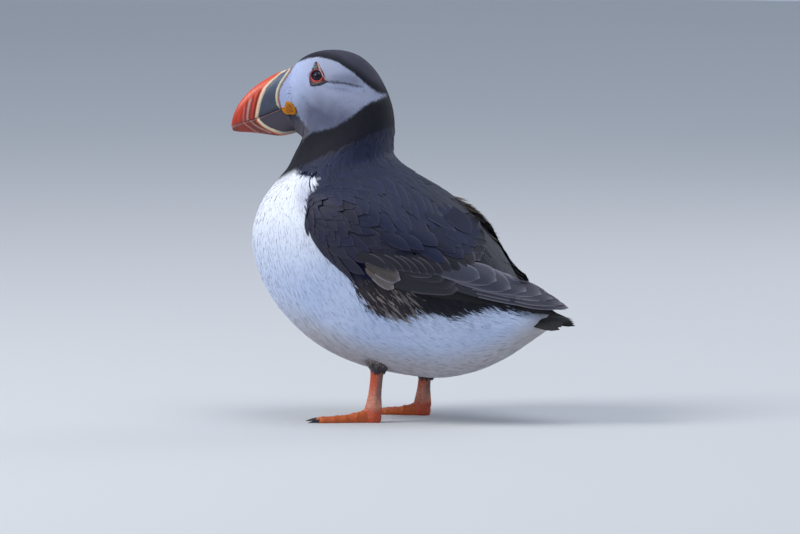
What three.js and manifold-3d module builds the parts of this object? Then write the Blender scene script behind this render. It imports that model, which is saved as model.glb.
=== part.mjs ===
// Atlantic puffin, standing, life size. Millimetres, +Z up, the bird faces -Y, its left side is +X.
// The head, neck and trunk are one lofted body parted with thin cuts; wings lie on its sides.
import * as THREE from "three";
import { mergeVertices } from "three/addons/utils/BufferGeometryUtils.js";
import Module from "manifold-3d";
const wasm = await Module();
wasm.setup();

// ---------- driving dimensions ----------
const GAP = 0.35; // clearance between touching pieces
const HEAD_TURN = 20; // the head looks this many degrees to the bird's left
const NECK_Y = -33.4; // the vertical axis the head turns about
const RINGS = (t) => (t < 14 ? 0.5 : 1); // station step from ring to ring
const BODY_SIDES = 22;
const ORIGIN = [0, 4.88]; // the bounding box's centre before it is moved to the origin
const rad = THREE.MathUtils.degToRad;

// Body stations from the bill's base to the tail: back point (y, z), belly point (y, z),
// half width, where along the chord it is widest, roundness of the back half and of the belly half, turn.
const BODY = [
  [-68.0, 187.0, -68.0, 179.0, 3.5, 0.5, 2.0, 2.0, 1],
  [-66.0, 195.8, -64.8, 167.6, 8.4, 0.52, 2.1, 2.0, 1],
  [-63.4, 199.8, -61.4, 163.6, 10.8, 0.54, 2.2, 2.0, 1],
  [-59.3, 204.6, -58.4, 161.0, 13.9, 0.56, 2.3, 2.0, 1],
  [-52.5, 208.4, -57.4, 159.0, 16.8, 0.57, 2.4, 2.0, 1],
  [-44.0, 210.3, -58.6, 156.6, 19.2, 0.57, 2.45, 2.0, 1],
  [-34.0, 210.0, -60.2, 154.2, 20.8, 0.56, 2.45, 2.0, 1],
  [-24.5, 206.6, -62.0, 151.4, 22.0, 0.54, 2.35, 2.0, 0.97],
  [-16.4, 199.2, -63.6, 148.2, 23.0, 0.52, 2.2, 2.0, 0.88],
  [-10.6, 189.8, -65.2, 144.9, 24.4, 0.5, 2.1, 2.0, 0.72],
  [-6.6, 179.5, -67.4, 141.4, 26.6, 0.5, 2.0, 2.0, 0.52],
  [-5.0, 169.0, -71.0, 137.2, 29.8, 0.5, 2.0, 2.0, 0.32],
  [-6.2, 159.2, -75.6, 131.2, 34.2, 0.5, 2.0, 2.05, 0.15],
  [-6.4, 150.6, -80.2, 124.3, 39.4, 0.52, 2.05, 2.1, 0.04],
  [1.8, 143.0, -84.0, 115.6, 44.4, 0.53, 2.1, 2.15, 0],
  [13.4, 136.4, -86.2, 105.0, 48.6, 0.53, 2.15, 2.2, 0],
  [25.6, 129.6, -85.2, 92.6, 51.4, 0.52, 2.2, 2.2, 0],
  [36.6, 121.8, -80.4, 78.6, 52.6, 0.5, 2.2, 2.2, 0],
  [46.4, 112.8, -71.6, 64.4, 52.4, 0.49, 2.2, 2.2, 0],
  [54.8, 102.6, -58.6, 50.8, 50.6, 0.48, 2.2, 2.2, 0],
  [62.0, 91.6, -41.6, 39.0, 47.4, 0.47, 2.15, 2.2, 0],
  [69.0, 81.6, -20.8, 30.8, 43.2, 0.46, 2.1, 2.2, 0],
  [75.5, 74.0, 1.6, 26.4, 38.0, 0.46, 2.1, 2.2, 0],
  [80.6, 69.0, 24.4, 24.6, 32.0, 0.46, 2.1, 2.2, 0],
  [84.6, 66.0, 44.4, 28.2, 26.0, 0.46, 2.1, 2.2, 0],
  [87.6, 64.0, 61.0, 35.4, 20.4, 0.48, 2.1, 2.1, 0],
  [90.0, 62.4, 73.6, 43.4, 14.8, 0.5, 2.0, 2.0, 0],
  [92.0, 61.0, 83.6, 50.2, 9.4, 0.5, 2.0, 2.0, 0],
  [93.4, 59.6, 90.6, 54.8, 5.0, 0.5, 2.0, 2.0, 0],
];
// Cuts that part the body: a point (y, z) on the plane and the plane's slope towards -Y in degrees.
const CUTS = [
  { at: [-40, 162.4], slope: 15 }, // head and neck
  { at: [-40, 145.2], slope: 6 }, // neck and trunk
];

// Folded wing in side view (y, z): lower edge and upper edge from the bend to the tip.
const WING_LOW = [[-38, 128], [-37, 113.5], [-27.5, 100.5], [-13, 88], [3, 80.5], [22, 76], [44, 72], [64, 68.4], [84, 64.8], [102, 61.4]];
const WING_TOP = [[-35, 132], [-22, 136], [-2, 135], [16, 128], [32, 116], [44.5, 101.8], [56, 89.8], [71, 81.2], [88, 72.8], [104, 62.6]];
const WING_LIFT = [2.4, 5.0, 6.4, 6.6, 6.2, 5.4, 4.6, 3.8, 3.2, 2.2]; // outer face above the body, at mid chord
const WING_OUT = [0, 0, 0, 0, 0, 24, 22.5, 18.5, 13, 6.5]; // least side distance of the lower edge, where the body has tapered away
const WING_IN_TOP = [0, 0, 0, 0, 0, 10, 5, 2.2, 1.5, 1.3]; // the same at the upper edge, over the rump
const WING_STEPS = 18, WING_CHORDS = 7, WING_DEEP = 5;
const WING_CUT_S = 0.6; // where coverts end and the flight feathers show

// Bill in side view: y is the head's own, before the turn.
const CULMEN = [[-56.5, 199.0], [-63.6, 199.9], [-68.2, 198.7], [-72.8, 196.9], [-79.2, 193.4], [-85.6, 188.9], [-90.6, 184.1], [-94.6, 178.7], [-97.4, 172.4], [-98.4, 167.4]];
const MOUTH = [[-62.0, 180.6], [-70.0, 177.6], [-73.6, 176.0], [-77.2, 174.4], [-80.8, 172.9], [-84.4, 171.6], [-88.0, 170.5], [-91.6, 169.4], [-95.0, 168.2], [-98.2, 166.6]];
const GONYS = [[-54.0, 165.6], [-61.4, 163.2], [-66.4, 161.9], [-71.4, 161.4], [-76.4, 161.9], [-81.2, 162.6], [-85.8, 163.1], [-90.0, 163.4], [-94.0, 163.6], [-97.4, 164.2]];
const BILL_HALF = [7.4, 7.2, 6.6, 5.9, 5.2, 4.5, 3.8, 3.1, 2.3, 1.2]; // half width at the mouth line
const BILL_BOW = 3.6; // how far the growth lines bow towards the tip
const CERE_WIDE = 2.4, CERE_PROUD = 0.9;

// Eyes
const EYE = { y: -48.9, z: 196.2, r: 3.8, sunk: 2.8 };
// Legs: ankle top and foot joint (x, y, z) of each side, foot heading outwards, feather edge height.
const LEGS = {
  left: { side: 1, top: [23.5, -4.2, 38], low: [24.5, -7.4, 6], out: 9, cuff: 30.2, cuffY: -4.4 },
  right: { side: -1, top: [-23.5, 8.0, 38], low: [-24.5, 4.8, 6], out: 7, cuff: 22.5, cuffY: 7.6 },
};
const TARSUS = { fore: 4.3, wide: 2.9 };
const TOES = [ // angle outwards from the foot's heading, length, half width
  { name: "inner", a: -19, l: 26.5, w: 2.0 },
  { name: "middle", a: 0, l: 33.5, w: 2.2 },
  { name: "outer", a: 18, l: 31.5, w: 2.1 },
];
const CLAW = 5.6, WEB = 1.3;
// Tail: root, tip, half widths, thickness
const TAIL = { y0: 80, y1: 104.5, z0: 61.8, z1: 57.0, w0: 15, w1: 16.5, thick: 3.0, arch: 3.0 };

// ---------- helpers ----------
const cr = (a, b, c, d, u) => 0.5 * (2 * b + (c - a) * u + (2 * a - 5 * b + 4 * c - d) * u * u + (3 * b - a - 3 * c + d) * u * u * u);
function along(table, t) { // smooth row of numbers at a fractional index
  const n = table.length - 1;
  t = Math.min(Math.max(t, 0), n);
  const i = Math.min(Math.floor(t), n - 1), u = t - i;
  const row = (k) => {
    if (k < 0) return [].concat(table[0]).map((v, j) => 2 * v - [].concat(table[1])[j]);
    if (k > n) return [].concat(table[n]).map((v, j) => 2 * v - [].concat(table[n - 1])[j]);
    return [].concat(table[k]);
  };
  const [a, b, c, d] = [row(i - 1), row(i), row(i + 1), row(i + 2)];
  return b.map((_, j) => cr(a[j], b[j], c[j], d[j], u));
}
const at01 = (table, s) => along(table, s * (table.length - 1));

function section(t, grow = 0) {
  const [dy, dz, vy, vz, w, m, nd, nv, turn] = along(BODY, t);
  const l = Math.hypot(dy - vy, dz - vz), ey = (dy - vy) / l, ez = (dz - vz) / l;
  return { dy: dy + ey * grow, dz: dz + ez * grow, vy: vy - ey * grow, vz: vz - ez * grow, w: w + grow, m, nd, nv, turn: rad(HEAD_TURN) * Math.max(0, turn) };
}
function turned([x, y, z], a) {
  return [x * Math.cos(a) - (y - NECK_Y) * Math.sin(a), NECK_Y + x * Math.sin(a) + (y - NECK_Y) * Math.cos(a), z];
}
function bodyPoint(t, phi, grow = 0) { // phi 0 at the back, towards the left side
  const s = section(t, grow), c = Math.cos(phi), q = Math.sin(phi);
  const n = c >= 0 ? s.nd : s.nv, k = Math.sign(c) * Math.abs(c) ** (2 / n);
  const f = c >= 0 ? s.m + (1 - s.m) * k : s.m + s.m * k;
  const x = s.w * Math.sign(q) * Math.abs(q) ** (2 / n);
  return turned([x, s.vy + (s.dy - s.vy) * f, s.vz + (s.dz - s.vz) * f], s.turn);
}
// The body's half width at a side-view point, 0 outside it. The head's turn is left out.
function bodyHalf(y, z, grow = 0) {
  const side = (t) => { const s = section(t, grow); return (s.dy - s.vy) * (z - s.vz) - (s.dz - s.vz) * (y - s.vy); };
  let lo = 3, hi = BODY.length - 1.05;
  const sl = Math.sign(side(lo)), sh = Math.sign(side(hi));
  if (sl === sh) return 0;
  for (let i = 0; i < 40; i++) { const mid = (lo + hi) / 2; if (Math.sign(side(mid)) === sl) lo = mid; else hi = mid; }
  const s = section(lo, grow), l2 = (s.dy - s.vy) ** 2 + (s.dz - s.vz) ** 2;
  const f = ((y - s.vy) * (s.dy - s.vy) + (z - s.vz) * (s.dz - s.vz)) / l2;
  const q = f > s.m ? (f - s.m) / (1 - s.m) : (s.m - f) / s.m, n = f > s.m ? s.nd : s.nv;
  return q >= 1 ? 0 : s.w * (1 - q ** n) ** (1 / n);
}

// A closed solid from rings of equal length, capped at both ends.
function ringLoft(rings) {
  const n = rings[0].length, pos = [], idx = [];
  rings.forEach((r) => r.forEach((p) => pos.push(...p)));
  for (let i = 0; i < rings.length - 1; i++)
    for (let j = 0; j < n; j++) {
      const a = i * n + j, b = i * n + ((j + 1) % n), c = a + n, d = b + n;
      idx.push(a, b, d, a, d, c);
    }
  for (const [k, flip] of [[0, true], [rings.length - 1, false]]) {
    const m = [0, 1, 2].map((q) => rings[k].reduce((v, p) => v + p[q], 0) / n), o = pos.length / 3;
    pos.push(...m);
    for (let j = 0; j < n; j++) {
      const a = k * n + j, b = k * n + ((j + 1) % n);
      flip ? idx.push(o, b, a) : idx.push(o, a, b);
    }
  }
  return new THREE.BufferGeometry().setAttribute("position", new THREE.BufferAttribute(new Float32Array(pos), 3)).setIndex(idx);
}
function toSolid(g) {
  g = g.index ? g.toNonIndexed() : g.clone();
  g.deleteAttribute("normal"); g.deleteAttribute("uv");
  const m = mergeVertices(g, 1e-4);
  let tri = new Uint32Array(m.index.array);
  let s = new wasm.Manifold(new wasm.Mesh({ numProp: 3, vertProperties: m.attributes.position.array, triVerts: tri }));
  if (s.volume() < 0) {
    tri = tri.slice();
    for (let i = 0; i < tri.length; i += 3) [tri[i + 1], tri[i + 2]] = [tri[i + 2], tri[i + 1]];
    s = new wasm.Manifold(new wasm.Mesh({ numProp: 3, vertProperties: m.attributes.position.array, triVerts: tri }));
  }
  return s;
}
function toGeometry(s) {
  const m = s.getMesh(), n = m.numProp, v = new Float32Array(m.numVert * 3);
  for (let i = 0; i < m.numVert; i++) v.set(m.vertProperties.subarray(i * n, i * n + 3), i * 3);
  const g = new THREE.BufferGeometry().setAttribute("position", new THREE.BufferAttribute(v, 3)).setIndex(new THREE.BufferAttribute(m.triVerts, 1));
  return g;
}
const largest = (s) => s.decompose().sort((a, b) => b.volume() - a.volume())[0];
const centreOf = (s) => { const b = s.boundingBox(); return [0, 1, 2].map((i) => (b.min[i] + b.max[i]) / 2); };
const group = new THREE.Group();
function add(name, solid, color, roughness = 0.8, metalness = 0) {
  const mesh = new THREE.Mesh(toGeometry(solid), new THREE.MeshStandardMaterial({ color, roughness, metalness }));
  mesh.name = name;
  group.add(mesh);
}
const mirrored = (s) => s.mirror([1, 0, 0]);

// ---------- body ----------
function bodySolid(grow) {
  const rings = [];
  for (let t = 0; t <= BODY.length - 1; t += RINGS(t)) {
    const ring = [];
    for (let j = 0; j < BODY_SIDES; j++) ring.push(bodyPoint(t, (j / BODY_SIDES) * 2 * Math.PI, grow));
    rings.push(ring);
  }
  return toSolid(ringLoft(rings));
}
const body = bodySolid(0), bodyGrown = bodySolid(GAP);

// ---------- wings ----------
function wingSolid() {
  const rings = [];
  for (let i = 0; i <= WING_STEPS; i++) {
    const s = i / WING_STEPS, lo = at01(WING_LOW, s), hi = at01(WING_TOP, s), lift = at01(WING_LIFT, s)[0];
    const restLow = Math.max(0, at01(WING_OUT, s)[0]), restTop = Math.max(0, at01(WING_IN_TOP, s)[0]);
    const outer = [], inner = [], edge = 0.4;
    for (let j = 0; j <= WING_CHORDS; j++) {
      const r = 0.5 - 0.5 * Math.cos((Math.PI * j) / WING_CHORDS), y = lo[0] + (hi[0] - lo[0]) * r, z = lo[1] + (hi[1] - lo[1]) * r;
      const rest = restLow + (restTop - restLow) * r * r, x = Math.max(bodyHalf(y, z), rest), onBody = x > rest;
      const gy = onBody ? (bodyHalf(y + 2, z) - bodyHalf(y - 2, z)) / 4 : 0, gz = onBody ? (bodyHalf(y, z + 2) - bodyHalf(y, z - 2)) / 4 : -0.4;
      const l = Math.min(Math.hypot(1, gy, gz), 1.5), up = lift * (edge + (1 - edge) * Math.sqrt(Math.max(0, 1 - (2 * r - 1) ** 2)));
      outer.push([x + up / l, y - (gy / l) * up * 0.5, z - (gz / l) * up * 0.5]);
      inner.push([x - (s > 0.55 ? 0.8 : WING_DEEP), y, z]);
    }
    rings.push([...outer, ...inner.reverse()]);
  }
  return largest(toSolid(ringLoft(rings)).subtract(bodyGrown));
}
const wing = wingSolid();
// a thin slanting slab parts the coverts from the flight feathers
function slab(y, z, slope, thick = GAP, x = 0, size = 400) {
  const g = new THREE.BoxGeometry(size, size, thick);
  g.rotateX(rad(slope)); g.translate(x, y, z);
  return toSolid(g);
}
const wingParts = wing.subtract(slab(...at01(WING_TOP.map((p, i) => [(p[0] + WING_LOW[i][0]) / 2, (p[1] + WING_LOW[i][1]) / 2]), WING_CUT_S), 118)).decompose().filter((s) => s.volume() > 30).sort((a, b) => centreOf(a)[1] - centreOf(b)[1]);

// ---------- tail ----------
function tailSolid() {
  const rings = [], steps = 6, across = 8;
  for (let i = 0; i <= steps; i++) {
    const s = i / steps, y0 = TAIL.y0 + (TAIL.y1 - TAIL.y0) * s, w = (TAIL.w0 + (TAIL.w1 - TAIL.w0) * s) * (s > 0.5 ? Math.sqrt(Math.max(0.05, 1 - ((s - 0.5) / 0.5) ** 2 * 0.62)) : 1);
    const top = [], low = [];
    for (let j = 0; j <= across; j++) {
      const q = (j / across) * 2 - 1, z = TAIL.z0 + (TAIL.z1 - TAIL.z0) * s - TAIL.arch * q * q, h = TAIL.thick * (1 - 0.45 * s) * (0.35 + 0.65 * Math.sqrt(1 - q * q * 0.96)) / 2;
      const y = y0 - 3.2 * s * q * q;
      top.push([q * w, y, z + h]); low.push([q * w, y, z - h]);
    }
    rings.push([...top, ...low.reverse()]);
  }
  return toSolid(ringLoft(rings));
}

// ---------- bill ----------
// Each half is a grid of growth lines s and depth r; the half width shrinks to the ridge.
function billSolid(edge, bow, power = 2.2, s1 = 1) {
  const rings = [], steps = 9, deep = 5, ridge = 0.09;
  for (let i = 0; i <= steps; i++) {
    const s = (i / steps) * s1, m = at01(MOUTH, s), c = at01(edge, s), half = at01(BILL_HALF, s)[0];
    const len = Math.hypot(c[0] - m[0], c[1] - m[1]) || 1, ny = -(c[1] - m[1]) / len, nz = (c[0] - m[0]) / len;
    const side = ny < 0 ? 1 : -1, b = bow * Math.sin(Math.PI * s) * 0.35 + bow * (1 - s) * 0.75;
    const left = [], right = [];
    for (let j = 0; j <= deep; j++) {
      const r = j / deep, k = 4 * r * (1 - r) * b * side;
      const y = m[0] + (c[0] - m[0]) * r + ny * k, z = m[1] + (c[1] - m[1]) * r + nz * k;
      const x = half * (ridge + (1 - ridge) * Math.pow(Math.max(0, 1 - r ** power), 0.62));
      left.push([x, y, z]); right.push([-x, y, z]);
    }
    rings.push([...left, ...right.reverse()]);
  }
  return toSolid(ringLoft(rings));
}
const turn = (s) => s.translate([0, -NECK_Y, 0]).rotate([0, 0, HEAD_TURN]).translate([0, NECK_Y, 0]);
const upperBill = billSolid(CULMEN, BILL_BOW).subtract(mouthSlab());
function mouthSlab() { // a thin curved sheet along the mouth line
  const rings = [];
  const rows = [[-50, 185.0], ...MOUTH, [-103, 164.6]];
  for (const [y, z] of rows) rings.push([[-20, y, z - GAP / 2], [20, y, z - GAP / 2], [20, y, z + GAP / 2], [-20, y, z + GAP / 2]]);
  return toSolid(ringLoft(rings));
}
const lowerBill = billSolid(GONYS, -0.6, 2.6, 0.985).scale([0.9, 1, 1]).subtract(mouthSlab());

// cere: a raised rim round the base of the upper bill
function cereSolid(grow = 0) {
  const rings = [], steps = 9;
  const rim = (k) => { // side view of the rim, k 0 at the mouth corner, 1 at the forehead
    const a = [-69.8, 177.6], b = [-63.9, 199.9], bow = 4.4;
    const y = a[0] + (b[0] - a[0]) * k - bow * Math.sin(Math.PI * Math.min(1, k * 1.05)) * (0.62 + 0.38 * (1 - k));
    return [y, a[1] + (b[1] - a[1]) * k];
  };
  const half = (k) => 7.5 * (0.16 + 0.84 * Math.max(0, 1 - k ** 2.4) ** 0.6) + CERE_PROUD * 0.6;
  const pts = [];
  for (let i = 0; i <= steps; i++) pts.push([half(i / steps), ...rim(i / steps)]);
  const path = [...pts, ...pts.slice(0, -1).reverse().map(([x, y, z]) => [-x, y, z])];
  for (let i = 0; i < path.length; i++) {
    const p = path[i], q = path[Math.min(i + 1, path.length - 1)], o = path[Math.max(i - 1, 0)];
    const dir = new THREE.Vector3(q[0] - o[0], q[1] - o[1], q[2] - o[2]).normalize();
    const out = new THREE.Vector3().crossVectors(dir, new THREE.Vector3(0, -1, 0)).normalize(), f = new THREE.Vector3().crossVectors(out, dir).normalize();
    const ring = [];
    for (let j = 0; j < 6; j++) {
      const a = (j / 6) * 2 * Math.PI, u = Math.cos(a) * (CERE_WIDE / 2 + grow), v = Math.sin(a) * ((1.0 + CERE_PROUD) * 0.62 + grow) - 0.5;
      ring.push([p[0] + f.x * u + out.x * v, p[1] + f.y * u + out.y * v, p[2] + f.z * u + out.z * v]);
    }
    rings.push(ring);
  }
  return toSolid(ringLoft(rings));
}

// rosette: the fleshy corner of the mouth
function rosette(grow = 0) {
  const g = new THREE.SphereGeometry(1, 12, 8);
  g.scale(2.4 + grow, 4.9 + grow, 3.7 + grow);
  g.rotateX(rad(24)); g.rotateZ(rad(-30));
  g.translate(9.0, -65.4, 178.0);
  return toSolid(g);
}

// ---------- eyes ----------
function eyeSolid(grow = 0) {
  const { y, z, r, sunk } = EYE, x = bodyHalf(y, z);
  const n = new THREE.Vector3(1, (bodyHalf(y - 1, z) - bodyHalf(y + 1, z)) / 2, (bodyHalf(y, z - 1) - bodyHalf(y, z + 1)) / 2).normalize();
  const g = new THREE.SphereGeometry(r + grow, 14, 8);
  g.translate(x - n.x * sunk, y - n.y * sunk, z - n.z * sunk);
  return toSolid(g);
}
const eyeL = turn(eyeSolid()), eyeR = turn(mirrored(eyeSolid()));
const eyeCuts = [turn(eyeSolid(GAP)), turn(mirrored(eyeSolid(GAP)))];

// ---------- legs ----------
function legParts(leg) {
  const { side, top, low, out, cuff, cuffY } = leg, rings = [];
  const steps = 8;
  for (let i = 0; i <= steps; i++) {
    const k = i / steps, x = low[0] + (top[0] - low[0]) * k, y = low[1] + (top[1] - low[1]) * k, z = low[2] + (top[2] - low[2]) * k;
    const swell = 1 + 0.34 * Math.exp(-(((k - 0.86) / 0.13) ** 2)) + 0.22 * Math.exp(-((k / 0.18) ** 2)) - 0.06 * Math.sin(Math.PI * k);
    const ring = [];
    for (let j = 0; j < 12; j++) { const a = (j / 12) * 2 * Math.PI; ring.push([x + Math.cos(a) * TARSUS.wide * (0.6 + 0.4 * swell), y + Math.sin(a) * TARSUS.fore * swell, z]); }
    rings.push(ring);
  }
  const shank = toSolid(ringLoft(rings));
  // foot: three toes, webs and heel, flat underneath
  const head = rad(out) * side, parts = [], claws = [];
  const dirOf = (a) => { const t = head + rad(a) * side; return [Math.sin(t), -Math.cos(t)]; };
  const heel = [low[0], low[1] + 0.4];
  const toeRing = (cx, cy, d, w, h, sides = 5) => {
    const ring = [], px = -d[1], py = d[0];
    ring.push([cx + px * w * 0.8, cy + py * w * 0.8, 0]);
    for (let j = 0; j <= sides; j++) { const a = (j / sides) * Math.PI; ring.push([cx + px * w * Math.cos(a), cy + py * w * Math.cos(a), 0.35 * h + 0.65 * h * Math.sin(a)]); }
    ring.push([cx - px * w * 0.8, cy - py * w * 0.8, 0]);
    return ring;
  };
  const tips = [];
  for (const t of TOES) {
    const d = dirOf(t.a), r = [];
    for (let i = 0; i <= 6; i++) {
      const k = i / 6, dist = t.l * k, joint = 1 + 0.10 * Math.cos(k * Math.PI * 6);
      const w = t.w * (1.12 - 0.32 * k) * joint * (k > 0.96 ? 0.72 : 1), h = (5.5 - 3.3 * Math.pow(k, 0.7)) * (0.94 + 0.06 * joint) * (k > 0.96 ? 0.8 : 1);
      r.push(toeRing(heel[0] + d[0] * dist, heel[1] + d[1] * dist, d, w, h));
    }
    parts.push(toSolid(ringLoft(r)));
    tips.push([heel[0] + d[0] * t.l, heel[1] + d[1] * t.l, d]);
    // claw
    const nail = [];
    for (let i = 0; i <= 4; i++) {
      const k = i / 4, dist = t.l + GAP + CLAW * k, h = 2.5 * (1 - k * 0.93), w = 1.15 * (1 - k * 0.85);
      const bend = side * 0.5 * k * k * (t.name === "inner" ? -1 : 0.3);
      nail.push(toeRing(heel[0] + d[0] * dist - d[1] * bend, heel[1] + d[1] * dist + d[0] * bend, d, w, Math.max(h, 0.25), 4));
    }
    claws.push([`claw_${t.name}`, toSolid(ringLoft(nail))]);
  }
  for (const [a, b] of [[0, 1], [1, 2]]) {
    const A = tips[a], B = tips[b], sh = new THREE.Shape();
    const reach = 0.93; // the web stops short of the toe tips
    const ax = heel[0] + (A[0] - heel[0]) * reach, ay = heel[1] + (A[1] - heel[1]) * reach, bx = heel[0] + (B[0] - heel[0]) * reach, by = heel[1] + (B[1] - heel[1]) * reach;
    const mx = (ax + bx) / 2 * 0.86 + heel[0] * 0.14, my = (ay + by) / 2 * 0.86 + heel[1] * 0.14;
    sh.moveTo(heel[0], heel[1]); sh.lineTo(ax, ay); sh.quadraticCurveTo(mx, my, bx, by); sh.closePath();
    const g = new THREE.ExtrudeGeometry(sh, { depth: WEB, bevelEnabled: false, curveSegments: 4 });
    parts.push(toSolid(g));
  }
  // heel pad, joined to the tarsus foot
  const hr = [];
  for (const [z, k] of [[0, 0.82], [0.9, 1.0], [3, 1.06], [5.4, 1.02], [8.6, 0.98]]) {
    const ring = [];
    for (let j = 0; j < 10; j++) { const a = (j / 10) * 2 * Math.PI; ring.push([heel[0] + Math.cos(a) * 3.5 * k, heel[1] + Math.sin(a) * 4.9 * k - 0.4, z]); }
    hr.push(ring);
  }
  parts.push(toSolid(ringLoft(hr)));
  let foot = parts[0];
  for (const p of parts.slice(1)) foot = foot.add(p);
  const cut = slab(low[1], 9.0, 6);
  const halves = shank.add(foot).subtract(cut).decompose().filter((s) => s.volume() > 20).sort((a, b) => centreOf(a)[2] - centreOf(b)[2]);
  // feathered thigh: a cone out of the belly down to the cuff
  const tr = [], lx = top[0], zTop = 62;
  for (let i = 0; i <= 4; i++) {
    const k = i / 4, z = cuff + (zTop - cuff) * k, a = 6.0 + 12.5 * Math.pow(k, 0.75), b = 6.8 + 14 * Math.pow(k, 0.7);
    const ring = [];
    for (let j = 0; j < 12; j++) { const p = (j / 12) * 2 * Math.PI; ring.push([lx - side * 2.5 * k + Math.cos(p) * a, cuffY + 1.5 * k + Math.sin(p) * b, z]); }
    tr.push(ring);
  }
  return { foot: halves[0], tarsus: halves[halves.length - 1], claws, thigh: toSolid(ringLoft(tr)) };
}
const legL = legParts(LEGS.left), legR = legParts(LEGS.right);
const grownTarsus = (leg) => { // clearance hole for the shank in thigh and belly
  const { top, low } = leg, rings = [];
  for (const k of [0, 0.6, 1.02]) {
    const x = low[0] + (top[0] - low[0]) * k, y = low[1] + (top[1] - low[1]) * k, z = low[2] + (top[2] - low[2]) * k, ring = [];
    for (let j = 0; j < 16; j++) { const a = (j / 16) * 2 * Math.PI; ring.push([x + Math.cos(a) * (TARSUS.wide * 1.2 + 0.4), y + Math.sin(a) * (TARSUS.fore * 1.36 + 0.5), z]); }
    rings.push(ring);
  }
  return toSolid(ringLoft(rings));
};

// ---------- assembly ----------
const tail = largest(tailSolid().subtract(bodyGrown));
const wingArmL = wingParts[0], wingTipL = largest(wingParts[wingParts.length - 1]);
const ros = [rosette(), mirrored(rosette())].map(turn), rosGrown = [rosette(GAP), mirrored(rosette(GAP))].map(turn);
const cereT = turn(cereSolid()), cereGrown = turn(cereSolid(GAP)), upT = turn(upperBill), lowT = turn(lowerBill);

let trunk = body;
for (const c of eyeCuts) trunk = trunk.subtract(c);
for (const leg of [LEGS.left, LEGS.right]) trunk = trunk.subtract(grownTarsus(leg));
for (const c of CUTS) trunk = trunk.subtract(slab(c.at[0], c.at[1], c.slope));
const pieces = trunk.decompose().filter((s) => s.volume() > 500).sort((a, b) => centreOf(b)[2] - centreOf(a)[2]);
const clearOf = (a, b) => [[0, 0, 0], [GAP, 0, 0], [-GAP, 0, 0], [0, 0, GAP], [0, 0, -GAP]].reduce((r, d) => r.subtract(b.translate(d)), a);
const rosCut = (s) => rosGrown.reduce((v, r) => v.subtract(r), s);

add("head", pieces[0], 0xb9bccb);
add("neck", pieces[1], 0x1a1a20);
add("trunk", pieces[2], 0xe8e8ee);
add("cere", largest(rosCut(cereT.subtract(bodyGrown))), 0xd8d3b4, 0.6);
add("bill_upper", largest(rosCut(upT.subtract(bodyGrown).subtract(cereGrown))), 0xc8402c, 0.4);
add("bill_lower", largest(rosCut(lowT.subtract(bodyGrown).subtract(cereGrown))), 0x6a6270, 0.4);
["left", "right"].forEach((side, i) => add(`rosette_${side}`, largest(ros[i].subtract(bodyGrown)), 0xd98a10, 0.6));
add("eye_left", eyeL, 0x14101a, 0.15);
add("eye_right", eyeR, 0x14101a, 0.15);
add("wing_left", wingArmL, 0x1c1c26);
add("wing_right", mirrored(wingArmL), 0x1c1c26);
add("primaries_left", wingTipL, 0x2a2730);
add("primaries_right", mirrored(wingTipL), 0x2a2730);
add("tail", largest([wingTipL, mirrored(wingTipL)].reduce(clearOf, tail)), 0x15151a);
for (const [side, leg, spec] of [["left", legL, LEGS.left], ["right", legR, LEGS.right]]) {
  add(`thigh_${side}`, largest(leg.thigh.subtract(bodyGrown).subtract(grownTarsus(spec))), 0xdcdce4);
  add(`leg_${side}`, leg.tarsus, 0xd8603a, 0.55);
  add(`foot_${side}`, leg.foot, 0xe0662e, 0.55);
  for (const [n, s] of leg.claws) add(`${n}_${side}`, s, 0x1c1a1a, 0.35);
}
group.position.set(-ORIGIN[0], -ORIGIN[1], 0);
export default group;
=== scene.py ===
"""Atlantic puffin, standing, life size: the looks. Shapes are worked out in millimetres and written in metres."""
import math
import bpy
import numpy as np
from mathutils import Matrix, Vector
from mathutils.kdtree import KDTree


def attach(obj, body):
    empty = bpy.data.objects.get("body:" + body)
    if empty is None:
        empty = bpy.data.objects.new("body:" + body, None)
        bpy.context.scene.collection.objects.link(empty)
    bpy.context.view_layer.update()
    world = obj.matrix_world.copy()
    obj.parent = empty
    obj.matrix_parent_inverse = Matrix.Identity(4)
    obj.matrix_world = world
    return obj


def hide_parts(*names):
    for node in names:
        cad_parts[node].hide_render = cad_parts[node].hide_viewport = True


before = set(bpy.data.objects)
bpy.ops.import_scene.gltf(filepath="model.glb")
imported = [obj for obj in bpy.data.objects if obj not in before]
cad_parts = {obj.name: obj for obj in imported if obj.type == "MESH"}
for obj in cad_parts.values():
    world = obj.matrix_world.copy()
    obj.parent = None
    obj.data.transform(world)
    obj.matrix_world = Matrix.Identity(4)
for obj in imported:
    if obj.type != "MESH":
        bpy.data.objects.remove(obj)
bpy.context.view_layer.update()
rng = np.random.default_rng(11)

# ------------------------------------------------------------------ driving numbers
MM = 0.001
SHIFT = np.array([0.0, -4.88, 0.0])  # from the drawing's origin to the part's
NECK_Y, HEAD_TURN = -33.4, math.radians(20)
VIEW_AZ, VIEW_EL = math.radians(20), math.radians(4.5)  # the camera: behind square-on, and above level
SCALE_PX, LENS = 1.75, 300.0  # pixels to a millimetre at the bird, and the lens

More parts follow.
